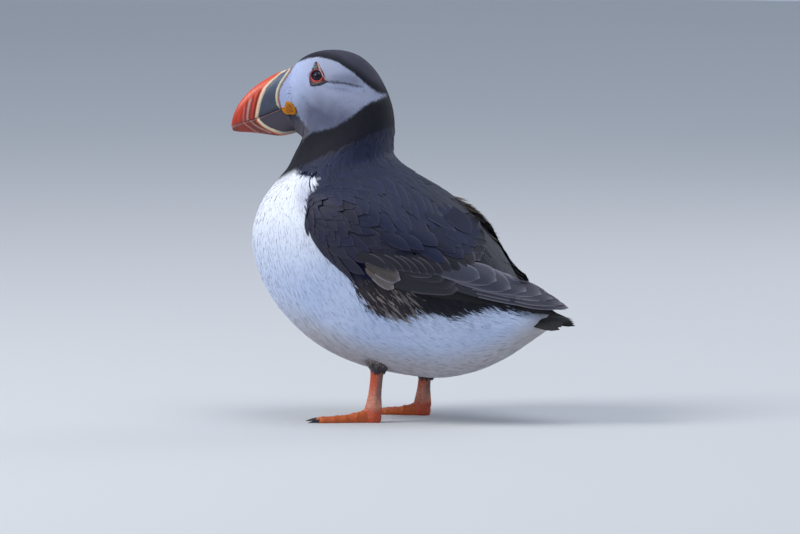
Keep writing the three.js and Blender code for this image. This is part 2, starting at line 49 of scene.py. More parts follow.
# stations: back y z, belly y z, half width, widest place, roundness back and belly, turn
BODY = np.array([
    [-68.0, 187.0, -68.0, 179.0, 3.5, 0.5, 2.0, 2.0, 1], [-66.0, 195.8, -64.8, 167.6, 8.4, 0.52, 2.1, 2.0, 1],
    [-63.4, 199.8, -61.4, 163.6, 10.8, 0.54, 2.2, 2.0, 1], [-59.3, 204.6, -58.4, 161.0, 13.9, 0.56, 2.3, 2.0, 1],
    [-52.5, 208.4, -57.4, 159.0, 16.8, 0.57, 2.4, 2.0, 1], [-44.0, 210.3, -58.6, 156.6, 19.2, 0.57, 2.45, 2.0, 1],
    [-34.0, 210.0, -60.2, 154.2, 20.8, 0.56, 2.45, 2.0, 1], [-24.5, 206.6, -62.0, 151.4, 22.0, 0.54, 2.35, 2.0, 0.97],
    [-16.4, 199.2, -63.6, 148.2, 23.0, 0.52, 2.2, 2.0, 0.88], [-10.6, 189.8, -65.2, 144.9, 24.4, 0.5, 2.1, 2.0, 0.72],
    [-6.6, 179.5, -67.4, 141.4, 26.6, 0.5, 2.0, 2.0, 0.52], [-5.0, 169.0, -71.0, 137.2, 29.8, 0.5, 2.0, 2.0, 0.32],
    [-6.2, 159.2, -75.6, 131.2, 34.2, 0.5, 2.0, 2.05, 0.15], [-6.4, 150.6, -80.2, 124.3, 39.4, 0.52, 2.05, 2.1, 0.04],
    [1.8, 143.0, -84.0, 115.6, 44.4, 0.53, 2.1, 2.15, 0], [13.4, 136.4, -86.2, 105.0, 48.6, 0.53, 2.15, 2.2, 0],
    [25.6, 129.6, -85.2, 92.6, 51.4, 0.52, 2.2, 2.2, 0], [36.6, 121.8, -80.4, 78.6, 52.6, 0.5, 2.2, 2.2, 0],
    [46.4, 112.8, -71.6, 64.4, 52.4, 0.49, 2.2, 2.2, 0], [54.8, 102.6, -58.6, 50.8, 50.6, 0.48, 2.2, 2.2, 0],
    [62.0, 91.6, -41.6, 39.0, 47.4, 0.47, 2.15, 2.2, 0], [69.0, 81.6, -20.8, 30.8, 43.2, 0.46, 2.1, 2.2, 0],
    [75.5, 74.0, 1.6, 26.4, 38.0, 0.46, 2.1, 2.2, 0], [80.6, 69.0, 24.4, 24.6, 32.0, 0.46, 2.1, 2.2, 0],
    [84.6, 66.0, 44.4, 28.2, 26.0, 0.46, 2.1, 2.2, 0], [87.6, 64.0, 61.0, 35.4, 20.4, 0.48, 2.1, 2.1, 0],
    [90.0, 62.4, 73.6, 43.4, 14.8, 0.5, 2.0, 2.0, 0], [92.0, 61.0, 83.6, 50.2, 9.4, 0.5, 2.0, 2.0, 0],
    [93.4, 59.6, 90.6, 54.8, 5.0, 0.5, 2.0, 2.0, 0]])
TN = len(BODY) - 1
COAT_DEPTH = ([0, 3, 8, 12, 15, 20, 25, 28], [0.28, 0.28, 0.4, 0.7, 1.0, 1.15, 1.0, 0.6])  # station, millimetres

WING_LOW = np.array([[-38, 128], [-37, 113.5], [-27.5, 100.5], [-13, 88], [3, 80.5], [22, 76], [44, 72], [64, 68.4], [84, 64.8], [102, 61.4]], float)
WING_TOP = np.array([[-35, 132], [-22, 136], [-2, 135], [16, 128], [32, 116], [44.5, 101.8], [56, 89.8], [71, 81.2], [88, 72.8], [104, 62.6]], float)
WING_LIFT = np.array([[2.4], [5.0], [6.4], [6.6], [6.2], [5.4], [4.6], [3.8], [3.2], [2.2]])
WING_OUT = np.array([[0], [0], [0], [0], [0], [24], [22.5], [18.5], [13], [6.5]], float)
WING_IN_TOP = np.array([[0], [0], [0], [0], [0], [10], [5], [2.2], [1.5], [1.3]], float)


# ------------------------------------------------------------------ curves and surfaces
def smooth(a, b, x):
    k = np.clip((x - a) / (b - a), 0, 1)
    return k * k * (3 - 2 * k)


def rows(table, t):
    """Smooth rows of a table at fractional indices."""
    T = np.asarray(table, float)
    n = len(T) - 1
    t = np.clip(np.asarray(t, float), 0, n)
    i = np.minimum(np.floor(t).astype(int), n - 1)
    u = (t - i)[:, None]
    P = np.vstack([2 * T[0] - T[1], T, 2 * T[n] - T[n - 1]])
    a, b, c, d = P[i], P[i + 1], P[i + 2], P[i + 3]
    return 0.5 * (2 * b + (c - a) * u + (2 * a - 5 * b + 4 * c - d) * u * u + (3 * b - a - 3 * c + d) * u ** 3)


def at01(table, s):
    return rows(table, np.asarray(s, float) * (len(table) - 1))


def section(t, grow):
    r = rows(BODY, t)
    D, V = r[:, :2].copy(), r[:, 2:4].copy()
    l = np.linalg.norm(D - V, axis=1)
    e = (D - V) / l[:, None]
    g = np.maximum(np.broadcast_to(grow, l.shape), -0.4 * l)
    D += e * g[:, None]
    V -= e * g[:, None]
    return D, V, np.maximum(r[:, 4] + g, 0.4), r[:, 5], r[:, 6], r[:, 7], np.maximum(r[:, 8], 0) * HEAD_TURN


def turned(p, a):
    x, y = p[:, 0], p[:, 1] - NECK_Y
    c, s = np.cos(a), np.sin(a)
    return np.stack([x * c - y * s, NECK_Y + x * s + y * c, p[:, 2]], 1)


def body(t, phi, grow=0.0, turn=True):
    """A point on the body: phi is 0 at the back and grows towards the left side."""
    t, phi = np.asarray(t, float), np.asarray(phi, float)
    D, V, w, m, nd, nv, a = section(t, grow)
    c, q = np.cos(phi), np.sin(phi)
    n = np.where(c >= 0, nd, nv)
    k = np.sign(c) * np.abs(c) ** (2 / n)
    f = np.where(c >= 0, m + (1 - m) * k, m + m * k)
    x = w * np.sign(q) * np.abs(q) ** (2 / n)
    p = np.stack([x, V[:, 0] + (D[:, 0] - V[:, 0]) * f, V[:, 1] + (D[:, 1] - V[:, 1]) * f], 1)
    return turned(p, a) if turn else p


def body_frame(t, phi, grow=0.0):
    """Point, both tangents and the outward normal."""
    e = 0.02
    p = body(t, phi, grow)
    tt = (body(np.minimum(t + e, TN), phi, grow) - body(np.maximum(t - e, 0), phi, grow)) / (np.minimum(t + e, TN) - np.maximum(t - e, 0))[:, None]
    tp = (body(t, phi + e, grow) - body(t, phi - e, grow)) / (2 * e)
    n = np.cross(tt, tp)
    n /= np.maximum(np.linalg.norm(n, axis=1), 1e-9)[:, None]
    c = body(t, phi * 0, grow) * 0.5 + body(t, phi * 0 + math.pi, grow) * 0.5
    n *= np.sign(np.sum(n * (p - c), 1))[:, None]
    return p, tt, tp, n


def side_x(y, z, grow=0.0):
    """Half width of the straight body at a side-view point, 0 outside it."""
    y, z = np.asarray(y, float), np.asarray(z, float)
    lo, hi = np.full(y.shape, 2.0), np.full(y.shape, TN - 0.05)

    def side(t):
        D, V = section(t, grow)[:2]
        return (D[:, 0] - V[:, 0]) * (z - V[:, 1]) - (D[:, 1] - V[:, 1]) * (y - V[:, 0])
    sl = np.sign(side(lo))
    bad = sl == np.sign(side(hi))
    for _ in range(30):
        mid = (lo + hi) / 2
        same = np.sign(side(mid)) == sl
        lo, hi = np.where(same, mid, lo), np.where(same, hi, mid)
    D, V, w, m, nd, nv, _ = section(lo, grow)
    l2 = np.sum((D - V) ** 2, 1)
    f = ((y - V[:, 0]) * (D[:, 0] - V[:, 0]) + (z - V[:, 1]) * (D[:, 1] - V[:, 1])) / l2
    q = np.where(f > m, (f - m) / (1 - m), (m - f) / m)
    n = np.where(f > m, nd, nv)
    return np.where(bad | (q >= 1), 0, w * np.maximum(1 - np.minimum(q, 1) ** n, 0) ** (1 / n))


def wing_place(s, r):
    """Outer face of the left wing, s from the bend to the tip, r from the lower to the upper edge: a point, and the way it is raised."""
    lo, hi, lift = at01(WING_LOW, s), at01(WING_TOP, s), at01(WING_LIFT, s)[:, 0]
    rc = np.clip(r, 0, 1)
    y, z = lo[:, 0] + (hi[:, 0] - lo[:, 0]) * r, lo[:, 1] + (hi[:, 1] - lo[:, 1]) * r
    rl, rt = np.maximum(0, at01(WING_OUT, s)[:, 0]), np.maximum(0, at01(WING_IN_TOP, s)[:, 0])
    rest = rl + (rt - rl) * rc * rc
    b = side_x(y, z)
    on = np.clip((b - rest) / 4 + 0.5, 0, 1)
    gy = on * (side_x(y + 2, z) - side_x(y - 2, z)) / 4
    gz = on * (side_x(y, z + 2) - side_x(y, z - 2)) / 4 - (1 - on) * 0.4
    l = np.minimum(np.sqrt(1 + gy ** 2 + gz ** 2), 1.5)
    D = np.stack([1 / l, -gy / l * 0.5, -gz / l * 0.5], 1)
    up = lift * (0.4 + 0.6 * np.sqrt(np.maximum(0, 1 - (2 * rc - 1) ** 2)))
    up = up * (1 - 0.8 * smooth(0.72, 1.0, rc) * smooth(0.62, 0.45, s))  # the wing melts into the back
    return np.hstack([np.stack([smax(b, rest, 2.0), y, z], 1) + D * up[:, None], D])


def smax(a, b, k):
    h = np.clip(0.5 + 0.5 * (a - b) / k, 0, 1)
    return b * (1 - h) + a * h + k * h * (1 - h) * 0.5


GS, GR = np.linspace(-0.12, 1.06, 320), np.linspace(-0.5, 1.5, 200)
WGRID = wing_place(*[g.ravel() for g in np.meshgrid(GS, GR, indexing="ij")]).reshape(len(GS), len(GR), 6)


def wing(s, r, off=0.0):
    s, r = np.broadcast_arrays(np.asarray(s, float), np.asarray(r, float))
    s, r = s.ravel(), r.ravel()
    a = np.clip((s - GS[0]) / (GS[1] - GS[0]), 0, len(GS) - 1.001)
    b = np.clip((r - GR[0]) / (GR[1] - GR[0]), 0, len(GR) - 1.001)
    i, j = a.astype(int), b.astype(int)
    u, v = (a - i)[:, None], (b - j)[:, None]
    G = WGRID
    g = (G[i, j] * (1 - u) + G[i + 1, j] * u) * (1 - v) + (G[i, j + 1] * (1 - u) + G[i + 1, j + 1] * u) * v
    return g[:, :3] + g[:, 3:] * np.broadcast_to(off, s.shape)[:, None]


def wing_frame(s, r, off=0.0):
    e = 0.006
    p = wing(s, r, off)
    ts = (wing(s + e, r, off) - wing(s - e, r, off)) / (2 * e)
    tr = (wing(s, r + e * 2, off) - wing(s, r - e * 2, off)) / (4 * e)
    n = np.cross(ts, tr)
    n /= np.maximum(np.linalg.norm(n, axis=1), 1e-9)[:, None]
    n *= np.where(n[:, 0:1] < 0, -1, 1)
    return p, ts, tr, n


def unit(v):
    return v / np.maximum(np.linalg.norm(v, axis=-1), 1e-9)[..., None]


def lin(hexes):
    """sRGB hex to linear."""
    c = np.array([int(hexes[i:i + 2], 16) / 255 for i in (1, 3, 5)])
    return np.where(c <= 0.04045, c / 12.92, ((c + 0.055) / 1.055) ** 2.4)


def noise(p, scale, seed=0):
    """Cheap smooth value noise from a sum of sines, about -1 to 1."""
    q = np.asarray(p) * scale
    out = np.zeros(len(q))
    for k in range(5):
        a = np.random.default_rng(seed * 31 + k).normal(size=(3, q.shape[1]))
        out += np.sin(q @ a[0] + 1.7 * np.sin(q @ a[1] + k) + seed)
    return out / 5 * 1.6


# ------------------------------------------------------------------ markings
def side_view(p):
    """Across and up in the side view of either flank, turned a little towards the tail."""
    x = np.abs(p[:, 0])
    h = -x * math.sin(VIEW_AZ) + p[:, 1] * math.cos(VIEW_AZ)
    v = p[:, 2] * math.cos(VIEW_EL) - (x * math.cos(VIEW_AZ) + p[:, 1] * math.sin(VIEW_AZ)) * math.sin(VIEW_EL)
    return h, v


def inside(h, v, poly):
    """Signed distance to a closed outline, above 0 inside."""
    P = np.asarray(poly, float)
    Q = np.roll(P, -1, 0)
    pt = np.stack([h, v], 1)
    d = np.full(len(pt), 1e9)
    odd = np.zeros(len(pt), bool)
    for a, b in zip(P, Q):
        ab = b - a
        k = np.clip(((pt - a) @ ab) / (ab @ ab), 0, 1)
        d = np.minimum(d, np.linalg.norm(pt - a - k[:, None] * ab, axis=1))
        hit = ((a[1] > v) != (b[1] > v)) & (h < (b[0] - a[0]) * (v - a[1]) / (b[1] - a[1] + 1e-12) + a[0])
        odd ^= hit
    return np.where(odd, d, -d)


# face disc, chin and breast outlines in the side view
FACE = [(-75, 199), (-64.9, 198.2), (-60.9, 203.2), (-54.9, 206.0), (-48.9, 206.9), (-42.8, 206), (-36.8, 203.8), (-32.8, 201), (-26.3, 197), (-21.5, 192.6), (-15.9, 188.2),
        (-12.3, 186.2), (-8.7, 185.2), (-12.3, 182.8), (-16.7, 181.6), (-20.7, 178.9), (-24.7, 175.3), (-30.8, 170.9), (-36.8, 167.7), (-44.8, 165.7), (-51.6, 164.3), (-56, 161.5), (-62, 158), (-78, 165)]
CHIN = [(-72, 175.5), (-61.5, 174.6), (-58.3, 171.0), (-55.6, 167.6), (-53.4, 164.4), (-56.7, 160.6), (-60, 156), (-72, 162)]
WHITE = [(-110, 144.5), (-63.4, 143.6), (-59.3, 140.9), (-56.6, 138.4), (-51.5, 136.8), (-46.6, 136.2), (-49.4, 133.4), (-50.8, 130), (-52.5, 124), (-52.8, 117.7), (-50.3, 110.1), (-44.5, 101.7), (-37.8, 93.4), (-31.1, 86), (-27, 77),
         (-23.5, 68), (-17, 60.5), (-8, 57.5), (4, 56.5), (12, 60.5), (22, 58.5), (31.4, 57), (40, 60), (49.7, 61.5), (70, 61), (88, 59.6), (105, 57.4), (105, 0), (-110, 0)]
C = {k: lin(v) for k, v in dict(
    white="#f0f4fd", white_in_shade="#b9c9ea", greywhite="#c4c8d4", face="#a2a8c0", faceshade="#5c6077", faceup="#b3bfe2", crown="#3e3d4c", crownedge="#24232f", collar="#15151f", chin="#454350",
    mantle="#181f40", wing="#181d3b", rump="#20222e", flank="#332d33", flankpale="#77706f", flankdark="#222229", under="#b0a59e", fuzz="#85786c", lavender_shade="#7d80a6", thigh="#8f8c92",
    crease="#2e2d3b", edge="#9a93a2", wingbrown="#222235", greater="#1e1d27", tab="#655c59", black="#0e0e12", primary="#2b2c38", primarypale="#484a5c").items()}


def mixc(a, b, k):
    return a * (1 - k[:, None]) + b * k[:, None]


def coat_colour(t, phi, jit=0.0):
    """Feather colour at a place on the body; jit moves the borders feather by feather."""
    p = body(t, phi)
    flat = body(t, phi, turn=False)
    n = len(p)
    jit = np.broadcast_to(jit, (n,))
    hy, hz = flat[:, 1], flat[:, 2]
    head = t < 11.6
    # trunk
    h, v = side_view(p)
    big, fine = noise(p, 0.05, 1), noise(p, 0.25, 2)
    w = inside(h, v, WHITE) + jit * 1.1 + fine * 0.8
    # painted shade: the white turns bluish grey towards the bottom of the breast, where skylight shade falls
    breast = mixc(np.broadcast_to(C["white"], (n, 3)), np.broadcast_to(C["white_in_shade"], (n, 3)), np.clip(smooth(122, 74, v) * 0.9 + 0.1 * big, 0, 1))
    # painted shade: a dusky lavender patch where the white meets the dark in front of the wing bend
    breast = mixc(breast, np.broadcast_to(C["lavender_shade"], (n, 3)), smooth(6.5, 0.5, np.hypot((h + 54) * 0.8, (v - 126) * 0.42)) * 0.45 * (t > 11))
    keel = np.interp(h, [-86, -80, -72, -58, -42, -21, 2, 24, 44, 61, 74, 84], [92, 78, 64, 50, 38.5, 30.5, 26, 24.5, 28, 35, 43, 50])
    breast = mixc(breast, np.broadcast_to(C["greywhite"], (n, 3)), smooth(60, 82, h) * 0.55)
    # towards the belly's lower outline the white goes warm grey: partly real staining, partly painted shade on the
    # underside
    breast = mixc(breast, np.broadcast_to(C["under"], (n, 3)), smooth(20, 3, v - keel) * 0.72 * smooth(-76, -44, h))
    dark = mixc(np.broadcast_to(C["mantle"], (n, 3)), np.broadcast_to(C["rump"], (n, 3)), smooth(0, 50, p[:, 1]))
    flankzone = smooth(86, 74, v)
    fl = mixc(np.broadcast_to(C["flank"], (n, 3)), np.broadcast_to(C["flankdark"], (n, 3)), smooth(2, 16, h))
    dark = mixc(dark, fl, flankzone * (np.abs(p[:, 0]) > 14))
    out = mixc(dark, breast, smooth(-1.0, 1.0, w))
    # feathered ankles
    tz = smooth(7.5, 2.5, np.hypot((np.abs(p[:, 0]) - 25) * 0.7, p[:, 1] + 6)) * (p[:, 2] < 42)
    out = mixc(out, np.broadcast_to(C["flank"], (n, 3)), tz * 0.75)
    # head and neck
    col = mixc(np.broadcast_to(C["collar"], (n, 3)), np.broadcast_to(C["mantle"], (n, 3)), smooth(10.5, 12.5, t) * smooth(1.2, 0.6, np.abs(phi)) * 0.6)
    crown = smooth(186, 196, hz) * smooth(-2, 4, inside(hy, hz, [(-80, 190), (-62, 199), (-50, 208), (-38, 206), (-26, 198), (-15, 189.5), (-6, 184), (10, 184), (10, 230), (-80, 230)]))
    col = mixc(col, mixc(np.broadcast_to(C["crownedge"], (n, 3)), np.broadcast_to(C["crown"], (n, 3)), smooth(0.5, 4.5, -inside(hy, hz, FACE))), crown)
    f = inside(hy, hz, FACE) + jit * 0.15
    fc = mixc(np.broadcast_to(C["faceup"], (n, 3)), np.broadcast_to(C["face"], (n, 3)), smooth(-64, -44, hy))
    # painted shade: the face darkens towards the lower cheek, and a little towards the rear
    fc = mixc(fc, np.broadcast_to(C["faceshade"], (n, 3)), np.clip(smooth(191, 173, hz + 0.25 * (hy + 45)) * smooth(-68, -52, hy) * 1.0 + 0.08 * fine, 0, 1))
    fc = mixc(fc, np.broadcast_to(C["faceshade"], (n, 3)), smooth(7.0, 2.0, np.hypot((hy + 33) / 2.2, hz - 193.2)) * 0.55)  # painted shade in the hollow behind the eye
    fc = mixc(fc, np.broadcast_to(C["faceshade"], (n, 3)), smooth(-20, -12, hy) * 0.1)
    crease, fold = crease_at(hy, hz)
    # painted shade darkens the crease behind the eye; a painted highlight lightens the fold below it
    fc = mixc(fc, np.broadcast_to(C["crease"], (n, 3)), np.clip(crease * 1.6, 0, 0.96))
    fc = mixc(fc, np.broadcast_to(C["faceup"], (n, 3)), fold * 0.35)
    col = mixc(col, fc, smooth(-0.35, 0.35, f))
    col = mixc(col, np.broadcast_to(C["chin"], (n, 3)), smooth(-0.5, 0.5, inside(hy, hz, CHIN) + jit * 0.35))
    k = smooth(10.9, 11.9, t)
    res = mixc(col, out, k)
    return np.clip(res, 0, 1)


# ------------------------------------------------------------------ meshes
def make_mesh(name, verts, faces, attrs=None, uv=None, smooth_shade=True, mat=None, body_name="root", normals=None):
    """verts in drawing millimetres; faces is a list of integer arrays, each N by 3 or N by 4."""
    v = (np.asarray(verts, float) + SHIFT) * MM
    faces = [np.asarray(f) for f in faces]
    vol = 0.0
    for f in faces:  # faces look outwards
        for i in range(1, f.shape[1] - 1):
            a, b, c = v[f[:, 0]], v[f[:, i]], v[f[:, i + 1]]
            vol += np.sum(a * np.cross(b, c))
    if vol < 0:
        faces = [f[:, ::-1] for f in faces]
    me = bpy.data.meshes.new(name)
    me.vertices.add(len(v))
    me.vertices.foreach_set("co", v.astype(np.float32).ravel())
    loops = np.concatenate([np.asarray(f).ravel() for f in faces]).astype(np.int32)
    tot = np.concatenate([np.full(len(f), np.asarray(f).shape[1], np.int32) for f in faces])
    me.loops.add(len(loops))
    me.loops.foreach_set("vertex_index", loops)
    me.polygons.add(len(tot))
    me.polygons.foreach_set("loop_start", np.concatenate([[0], np.cumsum(tot)[:-1]]).astype(np.int32))
    me.polygons.foreach_set("loop_total", tot)
    me.polygons.foreach_set("use_smooth", np.full(len(tot), smooth_shade))
    me.update(calc_edges=True)
    for k, a in (attrs or {}).items():
        a = np.asarray(a, np.float32)
        if a.ndim == 2:
            at = me.color_attributes.new(k, "FLOAT_COLOR", "POINT")
            at.data.foreach_set("color", np.hstack([a, np.ones((len(a), 1), np.float32)]).ravel())
        else:
            at = me.attributes.new(k, "FLOAT", "POINT")
            at.data.foreach_set("value", a)
    if uv is not None:
        layer = me.uv_layers.new(name="OFBake")
        layer.data.foreach_set("uv", np.asarray(uv, np.float32)[loops].ravel())
    if normals is not None:
        me.normals_split_custom_set_from_vertices(np.asarray(normals, np.float32))
    ob = bpy.data.objects.new(name, me)
    bpy.context.scene.collection.objects.link(ob)
    if mat:
        me.materials.append(mat)
    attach(ob, body_name)
    return ob


def vanes(C_, S_, N_, w, prof, thick, camber, nv=2, soft=None, fan=0.35):
    """Closed leaf shapes. C_, S_, N_ are (rows, count, 3) centre lines, side and up vectors; rows 0 and -1 are the ends.
    soft holds the normals of the surface underneath, which the shading leans towards.
    Returns verts, triangle arrays, along and across for each vertex, the leaf index and the shading normals."""
    nu, n = C_.shape[0] - 1, C_.shape[1]
    cols = np.linspace(-1, 1, nv + 1)
    V, AL, AC, NO = [], [], [], []
    idx = {}
    soft = N_ if soft is None else soft

    def put(key, pos, al, ac, i=0, sign=1.0):
        idx[key] = len(V)
        V.append(pos); AL.append(np.broadcast_to(al, (n,))); AC.append(np.broadcast_to(ac, (n,)))
        NO.append(sign * unit(soft[i] * 0.75 + N_[i] * 0.25 + S_[i] * fan * ac))
    put("r", C_[0], 0.0, 0.0, 0)
    for i in range(1, nu):
        u = i / nu
        half = (w * prof[i] * 0.5)[:, None]
        for j, q in enumerate(cols):
            base = C_[i] + S_[i] * half * q - N_[i] * (camber * q * q * w * prof[i])[:, None]
            th = np.broadcast_to(thick, (n,)) * (1 - q * q) * (1 - 0.5 * u)
            if abs(q) > 0.999:
                put(("e", i, j), base, u, q, i)
            else:
                put(("t", i, j), base + N_[i] * th[:, None], u, q, i)
                put(("b", i, j), base - N_[i] * th[:, None], u, q, i, -1.0)
    put("p", C_[nu], 1.0, 0.0, nu)

    def at(side, i, j):
        return idx[("e", i, j)] if j in (0, nv) else idx[(side, i, j)]
    T = []
    for side, flip in (("t", False), ("b", True)):
        def tri(a, b, c):
            T.append((a, c, b) if flip else (a, b, c))
        for j in range(nv):
            tri(idx["r"], at(side, 1, j + 1), at(side, 1, j))
            tri(idx["p"], at(side, nu - 1, j), at(side, nu - 1, j + 1))
            for i in range(1, nu - 1):
                a, b, c, d = at(side, i, j), at(side, i, j + 1), at(side, i + 1, j + 1), at(side, i + 1, j)
                tri(a, b, c)
                tri(a, c, d)
    k = len(V)
    verts = np.stack(V, 1).reshape(-1, 3)
    tris = (np.array(T)[None] + (np.arange(n) * k)[:, None, None]).reshape(-1, 3)
    return verts, tris, np.stack(AL, 1).ravel(), np.stack(AC, 1).ravel(), np.repeat(np.arange(n), k), np.stack(NO, 1).reshape(-1, 3)


def sample_body(count, density, t0=0.0, t1=None, phi0=-math.pi, phi1=math.pi, seed=1):
    """Even random roots on the body, count in all, weighted by density(t, phi)."""
    g = np.random.default_rng(seed)
    t1 = TN if t1 is None else t1
    a, b = 360, 180
    te, pe = np.linspace(t0, t1, a + 1), np.linspace(phi0, phi1, b + 1)
    tc, pc = np.meshgrid((te[1:] + te[:-1]) / 2, (pe[1:] + pe[:-1]) / 2, indexing="ij")
    _, tt, tp, _ = body_frame(tc.ravel(), pc.ravel())
    area = np.linalg.norm(np.cross(tt, tp), axis=1) * (te[1] - te[0]) * (pe[1] - pe[0])
    w = area * density(tc.ravel(), pc.ravel())
    w = w.reshape(a, b)
    w[1::2] = w[1::2, ::-1]
    order = np.arange(a * b).reshape(a, b)
    order[1::2] = order[1::2, ::-1]
    cum = np.cumsum(w.ravel())
    u = (np.arange(count) + g.random(count)) / count * cum[-1]
    cell = order.ravel()[np.minimum(np.searchsorted(cum, u), a * b - 1)]
    i, j = cell // b, cell % b
    return te[i] + g.random(count) * (te[1] - te[0]), pe[j] + g.random(count) * (pe[1] - pe[0])


def trace(t, phi, length, swing, steps, world=None):
    """Walks along the lie of the coat from each root. Returns the stations and angles of steps + 1 points."""
    ts, ps = [t.copy()], [phi.copy()]
    ds = length / steps
    for _ in range(steps):
        _, tt, tp, n = body_frame(ts[-1], ps[-1])
        f, s = unit(tt), unit(np.cross(n, tt))
        d = f * np.cos(swing)[:, None] + s * np.sin(swing)[:, None]
        if world is not None:
            d = unit(d + world)
        g11, g12, g22 = np.sum(tt * tt, 1), np.sum(tt * tp, 1), np.sum(tp * tp, 1) + 1e-6
        r1, r2 = np.sum(d * tt, 1), np.sum(d * tp, 1)
        det = np.maximum(g11 * g22 - g12 ** 2, 1e-6)
        ts.append(np.clip(ts[-1] + (r1 * g22 - r2 * g12) / det * ds, 0, TN))
        ps.append(ps[-1] + np.clip((r2 * g11 - r1 * g12) / det * ds, -0.5, 0.5))
    return ts, ps


CREASE = [(-43.9, 193.2), (-40.3, 192.9), (-36, 192.6), (-31.7, 192.1), (-26.6, 190.9), (-23.2, 190.3)]


def crease_at(y, z):
    """Depth of the crease behind the eye, 0 to 1, and how far below it a place lies."""
    cz = np.interp(y, [p[0] for p in CREASE], [p[1] for p in CREASE])
    run = smooth(-45.5, -43.5, y) * smooth(-20.5, -26, y)
    wide = np.interp(y, [-44, -24], [0.75, 0.5])
    return bell_(z - cz, 0, wide) * run, bell_(z - cz, -1.9, 1.3) * run


def bell_(x, mid, wide):
    return np.exp(-((x - mid) / wide) ** 2)


def relief(t, phi):
    """How far the coat stands above the plain body: the crease behind the eye, and the edge of the face over the bill's base."""
    out = np.zeros(len(t))
    sel = t < 9.5
    if sel.any():
        f = body(t[sel], phi[sel], turn=False)
        c, fold = crease_at(f[:, 1], f[:, 2])
        side = (np.abs(f[:, 0]) > 6)
        out[sel] = (-0.5 * c + 0.4 * fold) * side + 2.1 * smooth(1.9, 0.4, t[sel])
    return out


def skin_uv(t, phi):
    return np.stack([0.02 + 0.96 * ((phi / (2 * math.pi) + 0.5) % 1.0), 0.02 + 0.96 * t / TN], 1)


def patch_uv(root, along, across, leaf, size=0.003):
    return root[leaf] + np.stack([across * 0.5, along - 0.5], 1) * size


def coat(name, t, phi, length, width, thick, camber, lift0, lift1, prof, nu, nv, swing, colour, mat, seed_off=0, world=None, patch=0.003, bow=0.0, fan=0.3):
    """One piece of the coat on the body."""
    g = np.random.default_rng(500 + seed_off)
    ts, ps = trace(t, phi, length, swing, nu, world)
    cs, ss, ns = [], [], []
    pts, base_n = [], []
    for i in range(nu + 1):
        u = i / nu
        grow = lift0 + (lift1 - lift0) * (u ** 0.8) + bow * math.sin(math.pi * u) + relief(ts[i], ps[i]) * min(1.0, 0.4 + u)
        p, tt, tp, n = body_frame(ts[i], ps[i], 0.0)
        pts.append(p + n * np.broadcast_to(grow, (len(t),))[:, None])
        ns.append(n)
        base_n.append(n)
    for i in range(nu + 1):
        a, b = pts[max(i - 1, 0)], pts[min(i + 1, nu)]
        f = unit(b - a)
        s = unit(np.cross(ns[i], f))
        ss.append(s); ns[i] = unit(np.cross(f, s)); cs.append(pts[i])
    v, tri, al, ac, leaf, nrm = vanes(np.array(cs), np.array(ss), np.array(ns), width, prof, thick, camber, nv, np.array(base_n), fan)
    if callable(colour):
        tone = np.stack([colour(a, b) for a, b in zip(ts, ps)])[np.rint(al * nu).astype(int), leaf]
    else:
        tone = colour[leaf]
    seed = g.random(len(t))
    ob = make_mesh(name, v, [tri], dict(tone=tone, seed=seed[leaf], along=al, across=ac), patch_uv(skin_uv(t, phi), al, ac, leaf, patch), mat=mat, normals=nrm)
    return ob


def remeshed(ob, voxel, rounds=0):
    """The union of an object's closed shells as one surface, eased by a few rounds of smoothing."""
    m = ob.modifiers.new("m", "REMESH")
    m.mode, m.voxel_size, m.adaptivity = "VOXEL", voxel * MM, 0.0
    m.use_smooth_shade = True
    if rounds:
        k = ob.modifiers.new("s", "SMOOTH")
        k.factor, k.iterations = 0.5, rounds
    bpy.context.view_layer.update()
    dg = bpy.context.evaluated_depsgraph_get()
    me = bpy.data.meshes.new_from_object(ob.evaluated_get(dg))
    new = bpy.data.objects.new(ob.name + "_one", me)
    bpy.context.scene.collection.objects.link(new)
    old = ob.data
    bpy.data.objects.remove(ob)
    bpy.data.meshes.remove(old)
    me.materials.clear()
    return new


# ------------------------------------------------------------------ materials
def new_mat(name):
    m = bpy.data.materials.new(name)
    m.use_nodes = True
    nt = m.node_tree
    nt.nodes.clear()
    out = nt.nodes.new("ShaderNodeOutputMaterial")
    bs = nt.nodes.new("ShaderNodeBsdfPrincipled")
    nt.links.new(bs.outputs[0], out.inputs[0])
    return m, nt, bs


def node(nt, kind, **kw):
    n = nt.nodes.new(kind)
    for k, v in kw.items():
        if k.startswith("i_"):
            n.inputs[int(k[2:]) if k[2:].isdigit() else k[2:]].default_value = v
        else:
            setattr(n, k, v)
    return n


def attr(nt, name):
    return node(nt, "ShaderNodeAttribute", attribute_name=name)


def math_node(nt, op, a, b=None, clamp=False):
    n = node(nt, "ShaderNodeMath", operation=op, use_clamp=clamp)
    for i, x in enumerate((a, b)):
        if x is None:
            continue
        if isinstance(x, (int, float)):
            n.inputs[i].default_value = x
        else:
            nt.links.new(x, n.inputs[i])
    return n.outputs[0]


def mix_rgb(nt, kind, fac, a, b):
    n = node(nt, "ShaderNodeMix", data_type="RGBA", blend_type=kind)
    for sock, x in ((n.inputs[0], fac), (n.inputs[6], a), (n.inputs[7], b)):
        if isinstance(x, (int, float)):
            sock.default_value = x
        elif isinstance(x, tuple):
            sock.default_value = x
        else:
            nt.links.new(x, sock)
    return n.outputs[2]


def ramp(nt, fac, stops):
    n = node(nt, "ShaderNodeValToRGB")
    cr = n.color_ramp
    while len(cr.elements) < len(stops):
        cr.elements.new(0.5)
    for e, (p, c) in zip(cr.elements, stops):
        e.position = p
        e.color = (*c, 1) if len(c) == 3 else c
    nt.links.new(fac, n.inputs[0])
    return n.outputs[0]


